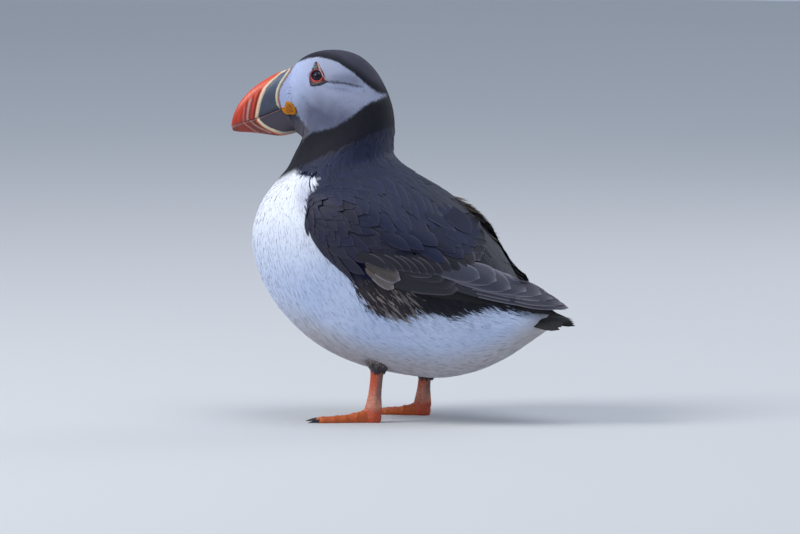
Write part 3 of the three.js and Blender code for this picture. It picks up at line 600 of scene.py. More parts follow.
def feather_mat(name, rough=0.75, barb=0.35, root_dark=0.25, tip_light=0.0, sheen=0.15, barbs=26.0, tip=None, edge=None, edge_amt=0.0, var=0.12, spec=0.3, edge_pow=8.0):
    m, nt, bs = new_mat(name)
    tone, al, ac, sd = attr(nt, "tone"), attr(nt, "along"), attr(nt, "across"), attr(nt, "seed")
    # barbs run from the shaft out towards the tip
    side = math_node(nt, "ABSOLUTE", ac.outputs["Fac"])
    lane = math_node(nt, "SUBTRACT", math_node(nt, "MULTIPLY", al.outputs["Fac"], barbs), math_node(nt, "MULTIPLY", side, barbs * 0.16))
    lane = math_node(nt, "ADD", lane, math_node(nt, "MULTIPLY", sd.outputs["Fac"], 40.0))
    comb = node(nt, "ShaderNodeCombineXYZ")
    nt.links.new(lane, comb.inputs[0]); nt.links.new(math_node(nt, "MULTIPLY", ac.outputs["Fac"], 0.6), comb.inputs[1]); nt.links.new(sd.outputs["Fac"], comb.inputs[2])
    nz = node(nt, "ShaderNodeTexNoise", i_Scale=1.6, i_Detail=3.0, i_Roughness=0.6)
    nt.links.new(comb.outputs[0], nz.inputs["Vector"])
    streak = ramp(nt, nz.outputs["Fac"], [(0.3, (1 - barb,) * 3), (0.7, (1 + barb * 0.35,) * 3)])
    col = mix_rgb(nt, "MULTIPLY", 1.0, tone.outputs["Color"], streak)
    v = ramp(nt, sd.outputs["Fac"], [(0.0, (1 - var,) * 3), (1.0, (1 + var,) * 3)])
    col = mix_rgb(nt, "MULTIPLY", 1.0, col, v)
    grad = ramp(nt, al.outputs["Fac"], [(0.0, (1 - root_dark,) * 3), (0.7, (1.0,) * 3), (1.0, (1 + tip_light,) * 3)])
    col = mix_rgb(nt, "MULTIPLY", 1.0, col, grad)
    if edge is not None:
        e1 = math_node(nt, "POWER", side, edge_pow)
        e2 = math_node(nt, "POWER", al.outputs["Fac"], edge_pow * 2.4)
        e = math_node(nt, "MULTIPLY", math_node(nt, "MULTIPLY", math_node(nt, "MAXIMUM", e1, e2), math_node(nt, "GREATER_THAN", al.outputs["Fac"], 0.35)), edge_amt, clamp=True)
        col = mix_rgb(nt, "MIX", e, col, (*edge, 1))
    nt.links.new(col, bs.inputs["Base Color"])
    bs.inputs["Roughness"].default_value = rough
    bs.inputs["Specular IOR Level"].default_value = spec
    bs.inputs["Sheen Weight"].default_value = sheen
    bs.inputs["Sheen Roughness"].default_value = 0.5
    bump = node(nt, "ShaderNodeBump", i_Strength=0.35, i_Distance=0.0002)
    nt.links.new(nz.outputs["Fac"], bump.inputs["Height"])
    nt.links.new(bump.outputs[0], bs.inputs["Normal"])
    return m


M_SKIN, nt, bs = new_mat("skin_under_coat")
_a = attr(nt, "tone")
_n = node(nt, "ShaderNodeTexNoise", i_Scale=420.0, i_Detail=4.0)
_c = mix_rgb(nt, "MULTIPLY", 1.0, _a.outputs["Color"], ramp(nt, _n.outputs["Fac"], [(0.3, (0.86,) * 3), (0.75, (0.98,) * 3)]))
nt.links.new(_c, bs.inputs["Base Color"])
bs.inputs["Roughness"].default_value = 0.9
bs.inputs["Specular IOR Level"].default_value = 0.15
_b = node(nt, "ShaderNodeBump", i_Strength=0.5, i_Distance=0.0004)
nt.links.new(_n.outputs["Fac"], _b.inputs["Height"])
nt.links.new(_b.outputs[0], bs.inputs["Normal"])

M_FACE = feather_mat("feather_face", rough=0.88, barb=0.05, root_dark=0.03, sheen=0.25, var=0.022, barbs=6)
M_NECK = feather_mat("feather_neck", rough=0.72, barb=0.22, root_dark=0.15, sheen=0.04, var=0.12, barbs=8, spec=0.22)
M_WHITE = feather_mat("feather_white", rough=0.88, barb=0.06, root_dark=0.05, sheen=0.3, var=0.03, barbs=6)
M_DARK = feather_mat("feather_dark", rough=0.62, barb=0.3, root_dark=0.25, sheen=0.04, var=0.14, barbs=30, spec=0.32, edge=tuple(C["edge"] * 0.35), edge_amt=0.3)
M_COVERT = feather_mat("feather_covert", rough=0.58, barb=0.32, root_dark=0.3, sheen=0.04, var=0.14, barbs=34, spec=0.32, edge=tuple(C["edge"] * 0.35), edge_amt=0.3)
M_QUILL2 = feather_mat("feather_greater_covert", rough=0.55, barb=0.3, root_dark=0.3, sheen=0.05, var=0.12, barbs=40, spec=0.35, edge=tuple(C["edge"] * 0.62), edge_amt=0.65, edge_pow=10)
M_QUILL0 = feather_mat("feather_under_primary", rough=0.6, barb=0.3, root_dark=0.2, sheen=0.05, var=0.12, barbs=90, spec=0.35)
M_QUILL1 = feather_mat("feather_secondary", rough=0.55, barb=0.3, root_dark=0.2, sheen=0.05, var=0.12, barbs=70, spec=0.4, edge=tuple(C["edge"] * 0.6), edge_amt=0.5)
M_TAB = feather_mat("feather_tab", rough=0.75, barb=0.35, root_dark=0.3, sheen=0.1, var=0.15, barbs=24, spec=0.3, edge=tuple(C["edge"] * 1.3), edge_amt=0.8)
M_QUILL = feather_mat("feather_quill", rough=0.5, barb=0.3, root_dark=0.2, sheen=0.05, var=0.12, barbs=90, spec=0.45, edge=tuple(C["edge"]), edge_amt=0.75, edge_pow=11)

# ------------------------------------------------------------------ skin
def depth_at(t):
    return np.interp(t, *COAT_DEPTH)


def build_skin():
    """One closed skin: head, neck and trunk, with the flesh of the wings and the feathered thighs grown into it."""
    shells = []
    a, b = 260, 120
    tt, pp = np.meshgrid(np.linspace(0, TN, a), np.linspace(-math.pi, math.pi, b, endpoint=False), indexing="ij")
    shells.append(body(tt.ravel(), pp.ravel(), 0.85 * relief(tt.ravel(), pp.ravel()) - depth_at(tt.ravel())).reshape(a, b, 3))
    for side in (1, -1):
        sw = np.linspace(0.02, 0.66, 60)
        around = np.linspace(0, 2 * math.pi, 40, endpoint=False)
        S, A = np.meshgrid(sw, around, indexing="ij")
        r = 0.5 - 0.46 * np.cos(A)
        end = np.sqrt(np.clip(np.minimum((S - 0.015) / 0.06, (0.665 - S) / 0.05), 0.05, 1))
        r = 0.5 + (r - 0.5) * end
        out = wing(S.ravel(), r.ravel(), -2.4).reshape(*S.shape, 3)
        deep = np.where(np.sin(A) < 0, 4.5, 0.0) * np.abs(np.sin(A)) * end
        out[..., 0] -= deep
        out[..., 0] *= side
        shells.append(out if side > 0 else out[:, ::-1])
    for side, (top, low, cuff, cuffy) in ((1, ((23.5, -4.2, 38), (24.5, -7.4, 6), 30.2, -4.4)), (-1, ((-23.5, 8, 38), (-24.5, 4.8, 6), 22.5, 7.6))):
        k = np.linspace(0, 1, 24)
        an = np.linspace(0, 2 * math.pi, 32, endpoint=False)
        K, A = np.meshgrid(k, an, indexing="ij")
        z = cuff + 1.0 + (62 - cuff) * K
        x = top[0] - side * 2.5 * K + (4.6 + 12.5 * K ** 0.75) * np.cos(A)
        y = cuffy + 1.5 * K + (5.2 + 14 * K ** 0.7) * np.sin(A)
        shells.append(np.stack([x, y, z], -1))
    verts, quads, tris, base = [], [], [], 0
    for g in shells:
        n, m = g.shape[:2]
        v = g.reshape(-1, 3)
        i, j = np.meshgrid(np.arange(n - 1), np.arange(m), indexing="ij")
        quads.append(base + np.stack([i * m + j, i * m + (j + 1) % m, (i + 1) * m + (j + 1) % m, (i + 1) * m + j], -1).reshape(-1, 4))
        k = np.arange(m)
        tris.append(base + np.stack([np.full(m, n * m), (k + 1) % m, k], 1))
        tris.append(base + np.stack([np.full(m, n * m + 1), (n - 1) * m + k, (n - 1) * m + (k + 1) % m], 1))
        verts.append(np.vstack([v, g[0].mean(0), g[-1].mean(0)]))
        base += n * m + 2
    rough = make_mesh("skin_rough", np.vstack(verts), [np.vstack(quads), np.vstack(tris)])
    v = remeshed(rough, 1.15, 2)
    ob = v
    co = np.zeros(len(ob.data.vertices) * 3, np.float32)
    ob.data.vertices.foreach_get("co", co)
    p = co.reshape(-1, 3) / MM - SHIFT
    # the marking of the nearest place on the body
    tt, pp = np.meshgrid(np.linspace(0, TN, 240), np.linspace(-math.pi, math.pi, 160, endpoint=False), indexing="ij")
    tt, pp = tt.ravel(), pp.ravel()
    q = body(tt, pp, -depth_at(tt))
    tree = KDTree(len(q))
    for i, c in enumerate(q):
        tree.insert(c, i)
    tree.balance()
    near = np.array([tree.find(c)[1] for c in p])
    far = np.linalg.norm(q[near] - p, axis=1)
    col = coat_colour(tt[near], pp[near])
    onwing = ((far > 3.0) & (p[:, 2] > 60))[:, None]
    thigh = ((far > 2.5) & (p[:, 2] < 50))[:, None]
    col = np.where(onwing, C["wing"], np.where(thigh, C["under"] * 0.8, col))
    at = ob.data.color_attributes.new("tone", "FLOAT_COLOR", "POINT")
    at.data.foreach_set("color", np.hstack([col, np.ones((len(col), 1))]).astype(np.float32).ravel())
    ob.name = ob.data.name = "skin"
    ob.data.materials.append(M_SKIN)
    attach(ob, "root")
    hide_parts("head", "neck", "trunk", "thigh_left", "thigh_right", "wing_left", "wing_right")
    return ob


SKIN = build_skin()

# ------------------------------------------------------------------ coat of the head, neck and trunk
SPIKE = np.array([0, 0.85, 1.0, 0])
SOFT = np.array([0, 0.8, 1.0, 0.6, 0])


def jitter(n, seed, s=1.0):
    return np.random.default_rng(seed).normal(size=n) * s


def build_head_coat():
    dens = lambda t, p: np.where(t < 11.4, 1.0, 0.0) * np.where(t < 7.0, 1.25, 1.0)
    n = 17200
    t, p = sample_body(n, dens, 0.3, 11.4, seed=3)
    _, tt_, _, _ = body_frame(t, p)
    ahead = 1.6 / np.maximum(np.linalg.norm(tt_, axis=1), 0.5)  # a tuft shows a little behind its root
    flat = body(np.minimum(t + ahead, TN), p, turn=False)
    f = inside(flat[:, 1], flat[:, 2], FACE)
    around_eye = inside(flat[:, 1], flat[:, 2], [(-50.4, 204.4), (-53.9, 196), (-53.4, 191), (-50, 190.6), (-43.5, 192.6), (-43.8, 194.4), (-46.8, 200.6), (-49, 204.4)])
    keep = (around_eye < -0.1) | (np.abs(flat[:, 0]) < 6)
    t, p, f = t[keep], p[keep], f[keep]
    for key, sel, L, W, lift, mat, sd in (("coat_face", f > -0.6, 3.0, 1.42, -0.03, M_FACE, 1), ("coat_crown_neck", f <= -0.6, 4.3, 1.5, 0.03, M_NECK, 2)):
        tt, pp = t[sel], p[sel]
        m = len(tt)
        ln = L * (0.8 + 0.4 * np.random.default_rng(sd).random(m)) * np.interp(tt, [0, 4, 8, 11.5], [0.7, 0.9, 1.05, 1.5])
        wd = W * np.interp(tt, [0, 4, 11], [0.8, 1.0, 1.25])
        coat(key, tt, pp, ln, wd, 0.07, 0.08, -0.5 * depth_at(tt), np.broadcast_to(lift, (m,)) + jitter(m, sd + 9, 0.025), SPIKE, 3, 2, jitter(m, sd + 5, 0.1), lambda a, b, m=m, sd=sd: coat_colour(a, b, jitter(m, sd + 7)), mat, sd, fan=0.22)


def build_white_coat():
    def dens(t, p):
        q = body(t, p)
        h, v = side_view(q)
        return (t > 10.8) * (inside(h, v, WHITE) > -3.0)
    n = 21000
    t, p = sample_body(n, dens, 10.8, TN - 0.6, seed=13)
    half = p < 0
    for key, sel, sd in (("coat_breast_front", t < 15.2, 31), ("coat_breast", (t >= 15.2) & (t < 19), 32), ("coat_belly", (t >= 19) & (t < 22.5), 33), ("coat_vent", t >= 22.5, 34)):
        tt, pp = t[sel], p[sel]
        m = len(tt)
        g = np.random.default_rng(sd)
        long_ = g.random(m) < 0.16
        ln = np.interp(tt, [11, 14, 18, 22, 26, 28], [8.4, 11, 13.2, 14.2, 12, 9]) * (0.75 + 0.5 * g.random(m)) * np.where(long_ & (tt > 14) & (tt < 26), 1.55, 1)
        wd = np.interp(tt, [11, 16, 22, 28], [2.2, 2.5, 2.6, 2.0]) * (0.8 + 0.4 * g.random(m)) * np.where(long_, 0.6, 1)
        swirl = 0.16 * noise(body(tt, pp), 0.06, 17) * smooth(13, 17, tt)
        coat(key, tt, pp, ln, wd, 0.10, 0.08, -0.6 * depth_at(tt), -0.12 + jitter(m, sd + 9, 0.06) + np.where(long_, 0.16, 0), SOFT, 4, 2, swirl + jitter(m, sd + 5, 0.1), lambda a, b, m=m, sd=sd: coat_colour(a, b, jitter(m, sd + 7)), M_WHITE, sd, fan=0.22)


def wing_leaves(name, side, s0, r0, s1, r1, width, off0, off1, nu, nv, prof, thick, mat, colour, bow=0.0, curve=1.0, seed_off=0, uv_at=None, patch=0.003, dip=0.25, wave=0.0, fan=0.3, keep=(-0.6, 1.6)):
    """Leaves laid on the wing's own surface, from root (s0, r0) to tip (s1, r1)."""
    n = len(s0)
    cols = np.linspace(-1, 1, nv + 1)
    g = np.random.default_rng(900 + seed_off)
    P, keyi, AL, AC, NO = [], {}, [], [], []
    bend = g.normal(size=n) * wave

    def spine(u):
        return s0 + (s1 - s0) * u, r0 + (r1 - r0) * u ** curve

    def put(key, u, q, sign):
        s, r = spine(u)
        i = min(int(u * nu + 1e-6), nu)
        half = width * prof[i] * 0.5
        _, _, tr, nn = wing_frame(s, r)
        chord = np.linalg.norm(tr, axis=1)
        room = np.maximum(np.where(q > 0, keep[1] - r, r - keep[0]), 0.02) * chord
        half = room * np.tanh(half / room)
        r2 = r + q * half / chord
        th = thick * (1 - q * q) * (1 - 0.5 * u)
        off = off0 + (off1 - off0) * u + bow * math.sin(math.pi * u) - dip * q * q * width * 0.1 + sign * th + bend * q * math.sin(math.pi * u)
        p = wing(s, r2, off)
        keyi[key] = len(P)
        P.append(p); AL.append(np.full(n, u)); AC.append(np.full(n, float(q)))
        NO.append((-1.0 if sign < 0 else 1.0) * unit(nn + unit(tr) * q * fan))
    put("r", 0.0, 0.0, 0)
    for i in range(1, nu):
        for j, q in enumerate(cols):
            if j in (0, nv):
                put(("e", i, j), i / nu, q, 0)
            else:
                put(("t", i, j), i / nu, q, 1)
                put(("b", i, j), i / nu, q, -1)
    put("p", 1.0, 0.0, 0)

    root = np.stack([0.02 + 0.96 * np.clip((s0 + s1) / 2, 0, 1), 0.1 + 0.8 * np.clip((r0 + r1) / 2, -0.1, 1.1)], 1) if uv_at is None else uv_at
    return leaf_mesh(name, side, P, keyi, AL, AC, NO, nu, nv, n, mat, colour, root, patch, g)


# how far out the wing or the body reaches over each place of the side view
MY, MZ = np.arange(-46.0, 114.0, 1.0), np.arange(38.0, 152.0, 1.0)


def side_map():
    S, R = np.meshgrid(np.linspace(-0.02, 1.03, 600), np.linspace(-0.04, 1.03, 200), indexing="ij")
    p = wing(S.ravel(), R.ravel(), 0.0)
    X = np.full((len(MY), len(MZ)), -1.0)
    i, j = np.rint(p[:, 1] - MY[0]).astype(int), np.rint(p[:, 2] - MZ[0]).astype(int)
    ok = (i >= 0) & (i < len(MY)) & (j >= 0) & (j < len(MZ))
    np.maximum.at(X, (i[ok], j[ok]), p[ok, 0])
    Y, Z = np.meshgrid(MY, MZ, indexing="ij")
    X = np.maximum(X, side_x(Y.ravel(), Z.ravel()).reshape(Y.shape))
    known = X > 1.0
    for _ in range(14):  # spread outwards from what is known
        P, K = np.pad(np.where(known, X, 0.0), 1), np.pad(known.astype(float), 1)
        tot = sum(np.roll(np.roll(P, a, 0), b, 1) for a in (-1, 0, 1) for b in (-1, 0, 1))[1:-1, 1:-1]
        num = sum(np.roll(np.roll(K, a, 0), b, 1) for a in (-1, 0, 1) for b in (-1, 0, 1))[1:-1, 1:-1]
        grow = ~known & (num > 0)
        X[grow] = tot[grow] / num[grow]
        known |= grow
    for _ in range(4):
        P = np.pad(X, 1, mode="edge")
        X = (P[1:-1, 1:-1] * 2 + P[:-2, 1:-1] + P[2:, 1:-1] + P[1:-1, :-2] + P[1:-1, 2:]) / 6
    return X


MX = side_map()


def side_height(y, z):
    a, b = np.clip(y - MY[0], 0, len(MY) - 1.001), np.clip(z - MZ[0], 0, len(MZ) - 1.001)
    i, j = a.astype(int), b.astype(int)
    u, v = a - i, b - j
    return (MX[i, j] * (1 - u) + MX[i + 1, j] * u) * (1 - v) + (MX[i, j + 1] * (1 - u) + MX[i + 1, j + 1] * u) * v


def to_side(h, v, up=2.0):
    """The place y, z on the outer surface that shows at h, v in the side view."""
    x = np.full(len(h), 40.0)
    for _ in range(14):
        y = (h + x * math.sin(VIEW_AZ)) / math.cos(VIEW_AZ)
        z = (v + (x * math.cos(VIEW_AZ) + y * math.sin(VIEW_AZ)) * math.sin(VIEW_EL)) / math.cos(VIEW_EL)
        x = 0.5 * x + 0.5 * (side_height(y, z) + up)
    return np.stack([y, z], 1)


def side_leaves(name, side, L, nu, nv, prof, thick, mat, colour, seed_off=0, bow=0.2, dip=0.15, fan=0.3, patch=(0.1, 0.1), wave=0.0):
    """Single feathers laid on the side: rows of root h, v, tip h, v, width, upward bow of the shaft, and height at root and tip."""
    L = np.asarray(L, float)
    n = len(L)
    g = np.random.default_rng(700 + seed_off)
    A, Bq = to_side(L[:, 0], L[:, 1]), to_side(L[:, 2], L[:, 3])
    d = unit(Bq - A)
    w = np.stack([-d[:, 1], d[:, 0]], 1)
    cols = np.linspace(-1, 1, nv + 1)
    bend = g.normal(size=n) * wave
    P, keyi, AL, AC, NO = [], {}, [], [], []

    def put(key, u, q, sign):
        i = min(int(u * nu + 1e-6), nu)
        half = L[:, 4] * prof[i] * 0.5
        c = A + (Bq - A) * u + w * (L[:, 5] * math.sin(math.pi * u) + q * half)[:, None]
        y, z = c.T
        gy = np.clip((side_height(y + 1.5, z) - side_height(y - 1.5, z)) / 3, -1.1, 1.1)
        gz = np.clip((side_height(y, z + 1.5) - side_height(y, z - 1.5)) / 3, -1.1, 1.1)
        nn = unit(np.stack([np.ones(n), -gy, -gz], 1))
        off = L[:, 6] + (L[:, 7] - L[:, 6]) * u + bow * math.sin(math.pi * u) - dip * q * q * L[:, 4] * 0.1 + sign * thick * (1 - q * q) * (1 - 0.5 * u) + bend * q * math.sin(math.pi * u)
        keyi[key] = len(P)
        P.append(np.stack([side_height(y, z), y, z], 1) + nn * off[:, None])
        AL.append(np.full(n, u)); AC.append(np.full(n, float(q)))
        NO.append((-1.0 if sign < 0 else 1.0) * unit(nn + np.stack([np.zeros(n), w[:, 0], w[:, 1]], 1) * q * fan))
    put("r", 0.0, 0.0, 0)
    for i in range(1, nu):
        for j, q in enumerate(cols):
            if j in (0, nv):
                put(("e", i, j), i / nu, q, 0)
            else:
                put(("t", i, j), i / nu, q, 1)
                put(("b", i, j), i / nu, q, -1)
    put("p", 1.0, 0.0, 0)
    root = np.stack([0.02 + 0.96 * np.clip((L[:, 0] + L[:, 2]) / 2 + 40, 0, 140) / 140, 0.05 + 0.9 * np.clip((L[:, 1] + L[:, 3]) / 2 - 50, 0, 80) / 80], 1)
    return leaf_mesh(name, side, P, keyi, AL, AC, NO, nu, nv, n, mat, colour, root, patch, g)


def leaf_mesh(name, side, P, keyi, AL, AC, NO, nu, nv, n, mat, colour, root, patch, g):
    """Joins the rings of points of n leaves into closed leaves on one side of the bird."""
    def at(k, i, j):
        return keyi[("e", i, j)] if j in (0, nv) else keyi[(k, i, j)]
    T = []
    for k, flip in (("t", False), ("b", True)):
        def tri(a, b, c):
            T.append((a, c, b) if flip else (a, b, c))
        for j in range(nv):
            tri(keyi["r"], at(k, 1, j), at(k, 1, j + 1))
            tri(keyi["p"], at(k, nu - 1, j + 1), at(k, nu - 1, j))
            for i in range(1, nu - 1):
                a, b, c, d = at(k, i, j), at(k, i, j + 1), at(k, i + 1, j + 1), at(k, i + 1, j)
                tri(a, c, b)
                tri(a, d, c)
    k = len(P)
    v = np.stack(P, 1).reshape(-1, 3)
    no = np.stack(NO, 1).reshape(-1, 3)
    tris = (np.array(T)[None] + (np.arange(n) * k)[:, None, None]).reshape(-1, 3)
    if side < 0:
        tuck = smooth(50, 100, v[:, 1])
        v = v - np.stack([-1.5 * tuck, 5.5 * tuck, 1.6 * tuck], 1)
        v, no = v * np.array([-1, 1, 1]), no * np.array([-1, 1, 1])
        tris = tris[:, ::-1]
    al, ac, leaf = np.stack(AL, 1).ravel(), np.stack(AC, 1).ravel(), np.repeat(np.arange(n), k)
    seed = g.random(n)
    size = np.array(patch) if np.ndim(patch) else np.array([patch, patch])
    uv = root[leaf] + np.stack([al - 0.5, ac * 0.5], 1) * size
    return make_mesh(name, v, [tris], dict(tone=colour[leaf], seed=seed[leaf], along=al, across=ac), uv, mat=mat, normals=no)


SPAN = 152.0  # millimetres from s 0 to s 1
BLUNT = np.array([0.5, 0.62, 0.8, 0.94, 1.0, 0.98, 0.88, 0.62, 0.0])
ROUND = np.array([0.5, 0.75, 0.93, 1.0, 1.0, 0.9, 0.62, 0.0])
BLADE = np.array([0.55, 0.7, 0.85, 0.95, 1.0, 1.0, 0.98, 0.93, 0.83, 0.68, 0.46, 0.22, 0.0])
BLUNT9 = np.array([0.5, 0.6, 0.76, 0.9, 0.98, 1.0, 0.95, 0.82, 0.56, 0.0])
BLADE_L = np.interp(np.linspace(0, 1, 17), [0, 0.1, 0.3, 0.5, 0.7, 0.8, 0.88, 0.94, 0.98, 1.0], [0.55, 0.7, 0.92, 1.0, 1.0, 0.97, 0.88, 0.7, 0.44, 0.0])
POINT = np.interp(np.linspace(0, 1, 17), [0, 0.1, 0.3, 0.5, 0.66, 0.76, 0.85, 0.92, 0.97, 1.0], [0.5, 0.68, 0.92, 1.0, 1.0, 0.93, 0.76, 0.52, 0.27, 0.0])
SPOON = np.array([0.4, 0.5, 0.64, 0.8, 0.93, 1.0, 1.0, 0.93, 0.7, 0.0])
COVERT_LEAF = np.array([0.5, 0.7, 0.88, 0.97, 1.0, 1.0, 0.95, 0.84, 0.66, 0.4, 0.0])
COVERT_TIPS = ([-0.1, 0.05, 0.2, 0.42, 0.7, 1.0, 1.15], [0.37, 0.40, 0.43, 0.505, 0.585, 0.65, 0.68])  # where the greater coverts end, by r


def tinted(base, n, seed, amount=0.14, warm=0.0):
    g = np.random.default_rng(seed)
    c = np.broadcast_to(base, (n, 3)) * (1 + amount * g.normal(size=(n, 1)))
    return np.clip(c + warm * g.random((n, 1)) * (C["flank"] - c), 0, 1)


def build_wing(side):
    tag = "left" if side > 0 else "right"
    g = np.random.default_rng(70 if side > 0 else 71)
    far = 0.0 if side > 0 else 1.0
    # primaries fan out from under the coverts: the innermost lies on top, each tip short of the next
    PR = np.array([[18, 79.8, 94.9, 63.2, 8.6, -0.8], [18, 81.6, 91.8, 65.2, 9.2, -0.2], [18, 83.4, 86.2, 68.2, 9.8, 0.4], [18, 85.0, 79.2, 70.4, 10.4, 0.8], [17, 86.2, 70.2, 72.0, 10.8, 0.9],
                   [17, 87.4, 61.3, 73.5, 11.2, 0.9], [16, 88.4, 53.0, 77.8, 11.0, 0.7], [14, 88.0, 43.4, 79.6, 9.5, 0.5]])
    n = len(PR)
    k = np.arange(n)
    base = mixc(np.broadcast_to(C["primary"], (n, 3)), np.broadcast_to(C["primarypale"], (n, 3)), k / 12)
    pr = side_leaves("primaries_" + tag + "_vanes", side, np.hstack([PR, (0.2 + 0.1 * k)[:, None], (0.3 + 0.3 * k)[:, None]]), 16, 8, POINT, 0.2, M_QUILL, base, seed_off=1, patch=(0.5, 0.06), dip=0.12, fan=0.25)
    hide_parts("primaries_" + tag)
    # under primaries: the dark lower face of the wing tip
    m = 4
    j = np.arange(m)
    uv = np.stack([np.full(m, 0.5), 0.12 + j * 0.25], 1)
    wing_leaves("primaries_under_" + tag, side, np.full(m, 0.5), 0.02 + 0.2 * j, 1.0 - 0.045 * j, 0.25 + 0.13 * j, np.full(m, 10.0), np.full(m, -3.4) - 0.2 * j, np.full(m, -2.2) - 0.25 * j, 12, 6, BLADE, 0.22, M_QUILL0, tinted(C["black"], m, 9, 0.08), seed_off=3, uv_at=uv, patch=(0.9, 0.22), dip=0.1, keep=(-0.06, 1.0))
    # secondaries
    SE = np.array([[-8, 78.6, 32.2, 74.0, 7.4, -0.8], [-8, 81.0, 30.6, 77.6, 8.4, -0.3], [-8, 84.0, 25.4, 81.4, 8.6, 0], [-7, 87, 19, 84, 8.6, 0]])
    n = len(SE)
    k = np.arange(n)
    side_leaves("secondaries_" + tag, side, np.hstack([SE, np.full((n, 1), 0.3), (0.7 + 0.25 * k)[:, None]]), 16, 6, BLADE_L, 0.2, M_QUILL1, tinted(C["primary"] * 0.62, n, 5, 0.08), seed_off=2, patch=(0.3, 0.05))
    # greater coverts: a row of overlapping tips along the lower edge, turning up at the rear
    GC = np.array([[-6.5, 85.3, 24, 6.0], [-2.2, 84.8, 24, 6.0], [2.2, 84.4, 25, 6.0], [6.4, 83.9, 26, 6.0], [10.9, 83.0, 27, 6.2], [15.0, 82.4, 28, 6.2], [19.4, 82.0, 29, 6.4], [23.8, 82.3, 30, 6.6], [28.4, 83.3, 31, 7.0],
                   [33.0, 83.9, 33, 7.0], [37.0, 84.7, 35, 7.2], [40.6, 86.4, 38, 7.2], [43.6, 89.0, 42, 7.0], [45.6, 92.6, 47, 6.6], [46.8, 96.6, 52, 6.2], [47.4, 100.6, 56, 5.8]])
    MC = np.array([[24.0, 88.6, 33, 6.6], [29.7, 93.6, 34, 6.6], [34.6, 90.6, 36, 6.8], [38.6, 92.8, 40, 6.6], [41.2, 96.8, 44, 6.4], [42.8, 101.4, 50, 6.0], [36.6, 98.6, 40, 6.2], [33.0, 96.4, 36, 6.4], [20.0, 97.6, 32, 6.4], [12.6, 95.6, 30, 6.2], [5.0, 95.4, 28, 6.2], [38.6, 104.2, 48, 5.6]])
    for nm, T_, ln_, lift, mat, tone, sd in (("greater_coverts_", GC, 21.0, (0.2, 1.95), M_QUILL2, "greater", 11), ("median_coverts_", MC, 19.0, (0.3, 2.15), M_COVERT, "wing", 13)):
        n = len(T_)
        an = np.radians(T_[:, 2])
        ln = ln_ * (1 + 0.06 * g.normal(size=n))
        L = np.stack([T_[:, 0] - ln * np.cos(an), T_[:, 1] + ln * np.sin(an), T_[:, 0], T_[:, 1], T_[:, 3], 0.8 + 0.2 * g.normal(size=n), np.full(n, lift[0]), lift[1] + 0.08 * g.normal(size=n) + (0.02 * np.arange(n) if sd == 11 else 0)], 1)
        side_leaves(nm + tag, side, L, 10, 6, COVERT_LEAF, 0.14, mat, tinted(C[tone], n, sd + int(far), 0.1), seed_off=sd, patch=(0.12, 0.05), wave=0.15)
    # coverts, from the greater row forward to the bend; they lie in soft clumps
    S1, R1, LN, WD, OF, TY, SW = [], [], [], [], [], [], []
    line = lambda r: np.interp(r, *COVERT_TIPS)
    rows_ = [(0.05, 24, 8.6, 4.8, 1), (0.095, 22, 9.2, 5.0, 1)] + [(0.115 + 0.034 * j, 18 - 0.5 * j, 8.8 - 0.25 * j, 4.4 - 0.1 * j, 2) for j in range(1, 12)]
    for i, (back, ln, w, gap, ty) in enumerate(rows_):
        r = 0.03 + 0.03 * (i % 2)
        while r < 0.98:
            s = line(r) - back
            chord = np.linalg.norm(np.diff(np.vstack([at01(WING_LOW, [max(s, 0.02)]), at01(WING_TOP, [max(s, 0.02)])]), axis=0))
            step_ = gap / chord
            if s > 0.012 and r < 1.0 - 0.2 * w / chord:
                S1.append(s + g.normal() * 0.007 * (1 + ty)); R1.append(r + g.normal() * 0.09 * step_ * (1 + ty)); LN.append(ln * (1 + 0.12 * g.normal())); WD.append(w * (1 + 0.12 * g.normal())); OF.append(0.35 + 0.035 * i); TY.append(ty)
            r += step_
    S1, R1, LN, WD, OF, TY = map(np.array, (S1, R1, LN, WD, OF, TY))
    S0 = S1 - LN / SPAN
    q = np.stack([S1 * 9.0, R1 * 3.2], 1)
    clump = noise(q, 1.0, 21 + int(far))
    clump2 = noise(q, 2.3, 31 + int(far))
    OF = OF + np.where(TY > 1, 0.16 * clump + 0.08 * clump2, 0.3 * clump + 0.14 * clump2)
    SW = np.where(TY > 0, 0.05 * clump2, 0.0)
    # per covert: partly real variation from brownish to blue-black, partly a painted blue sheen on the clumps that
    # clump2 raises
    tone_and_sheen = np.clip(0.5 + 0.6 * clump2 + 0.2 * g.normal(size=len(S1)), 0, 1)
    for nm, sel, mat, sd in (("coverts_", TY > 0, M_COVERT, 12),):
        m = int(sel.sum())
        base = mixc(np.broadcast_to(C["wingbrown"], (m, 3)), np.broadcast_to(C["wing"], (m, 3)), tone_and_sheen[sel]) * (0.92 + 0.16 * g.random((m, 1))) if sd == 12 else tinted(C["greater"], m, sd, 0.1)
        wing_leaves(nm + tag, side, S0[sel], (R1 - SW)[sel] - 0.02, S1[sel], (R1 + SW)[sel], WD[sel], -1.5 + 0 * S0[sel], OF[sel], 10, 6, COVERT_LEAF, 0.13, mat, base, bow=0.2, seed_off=sd + (0 if side > 0 else 50), wave=0.3, dip=0.2, keep=(-0.03, 1.06))
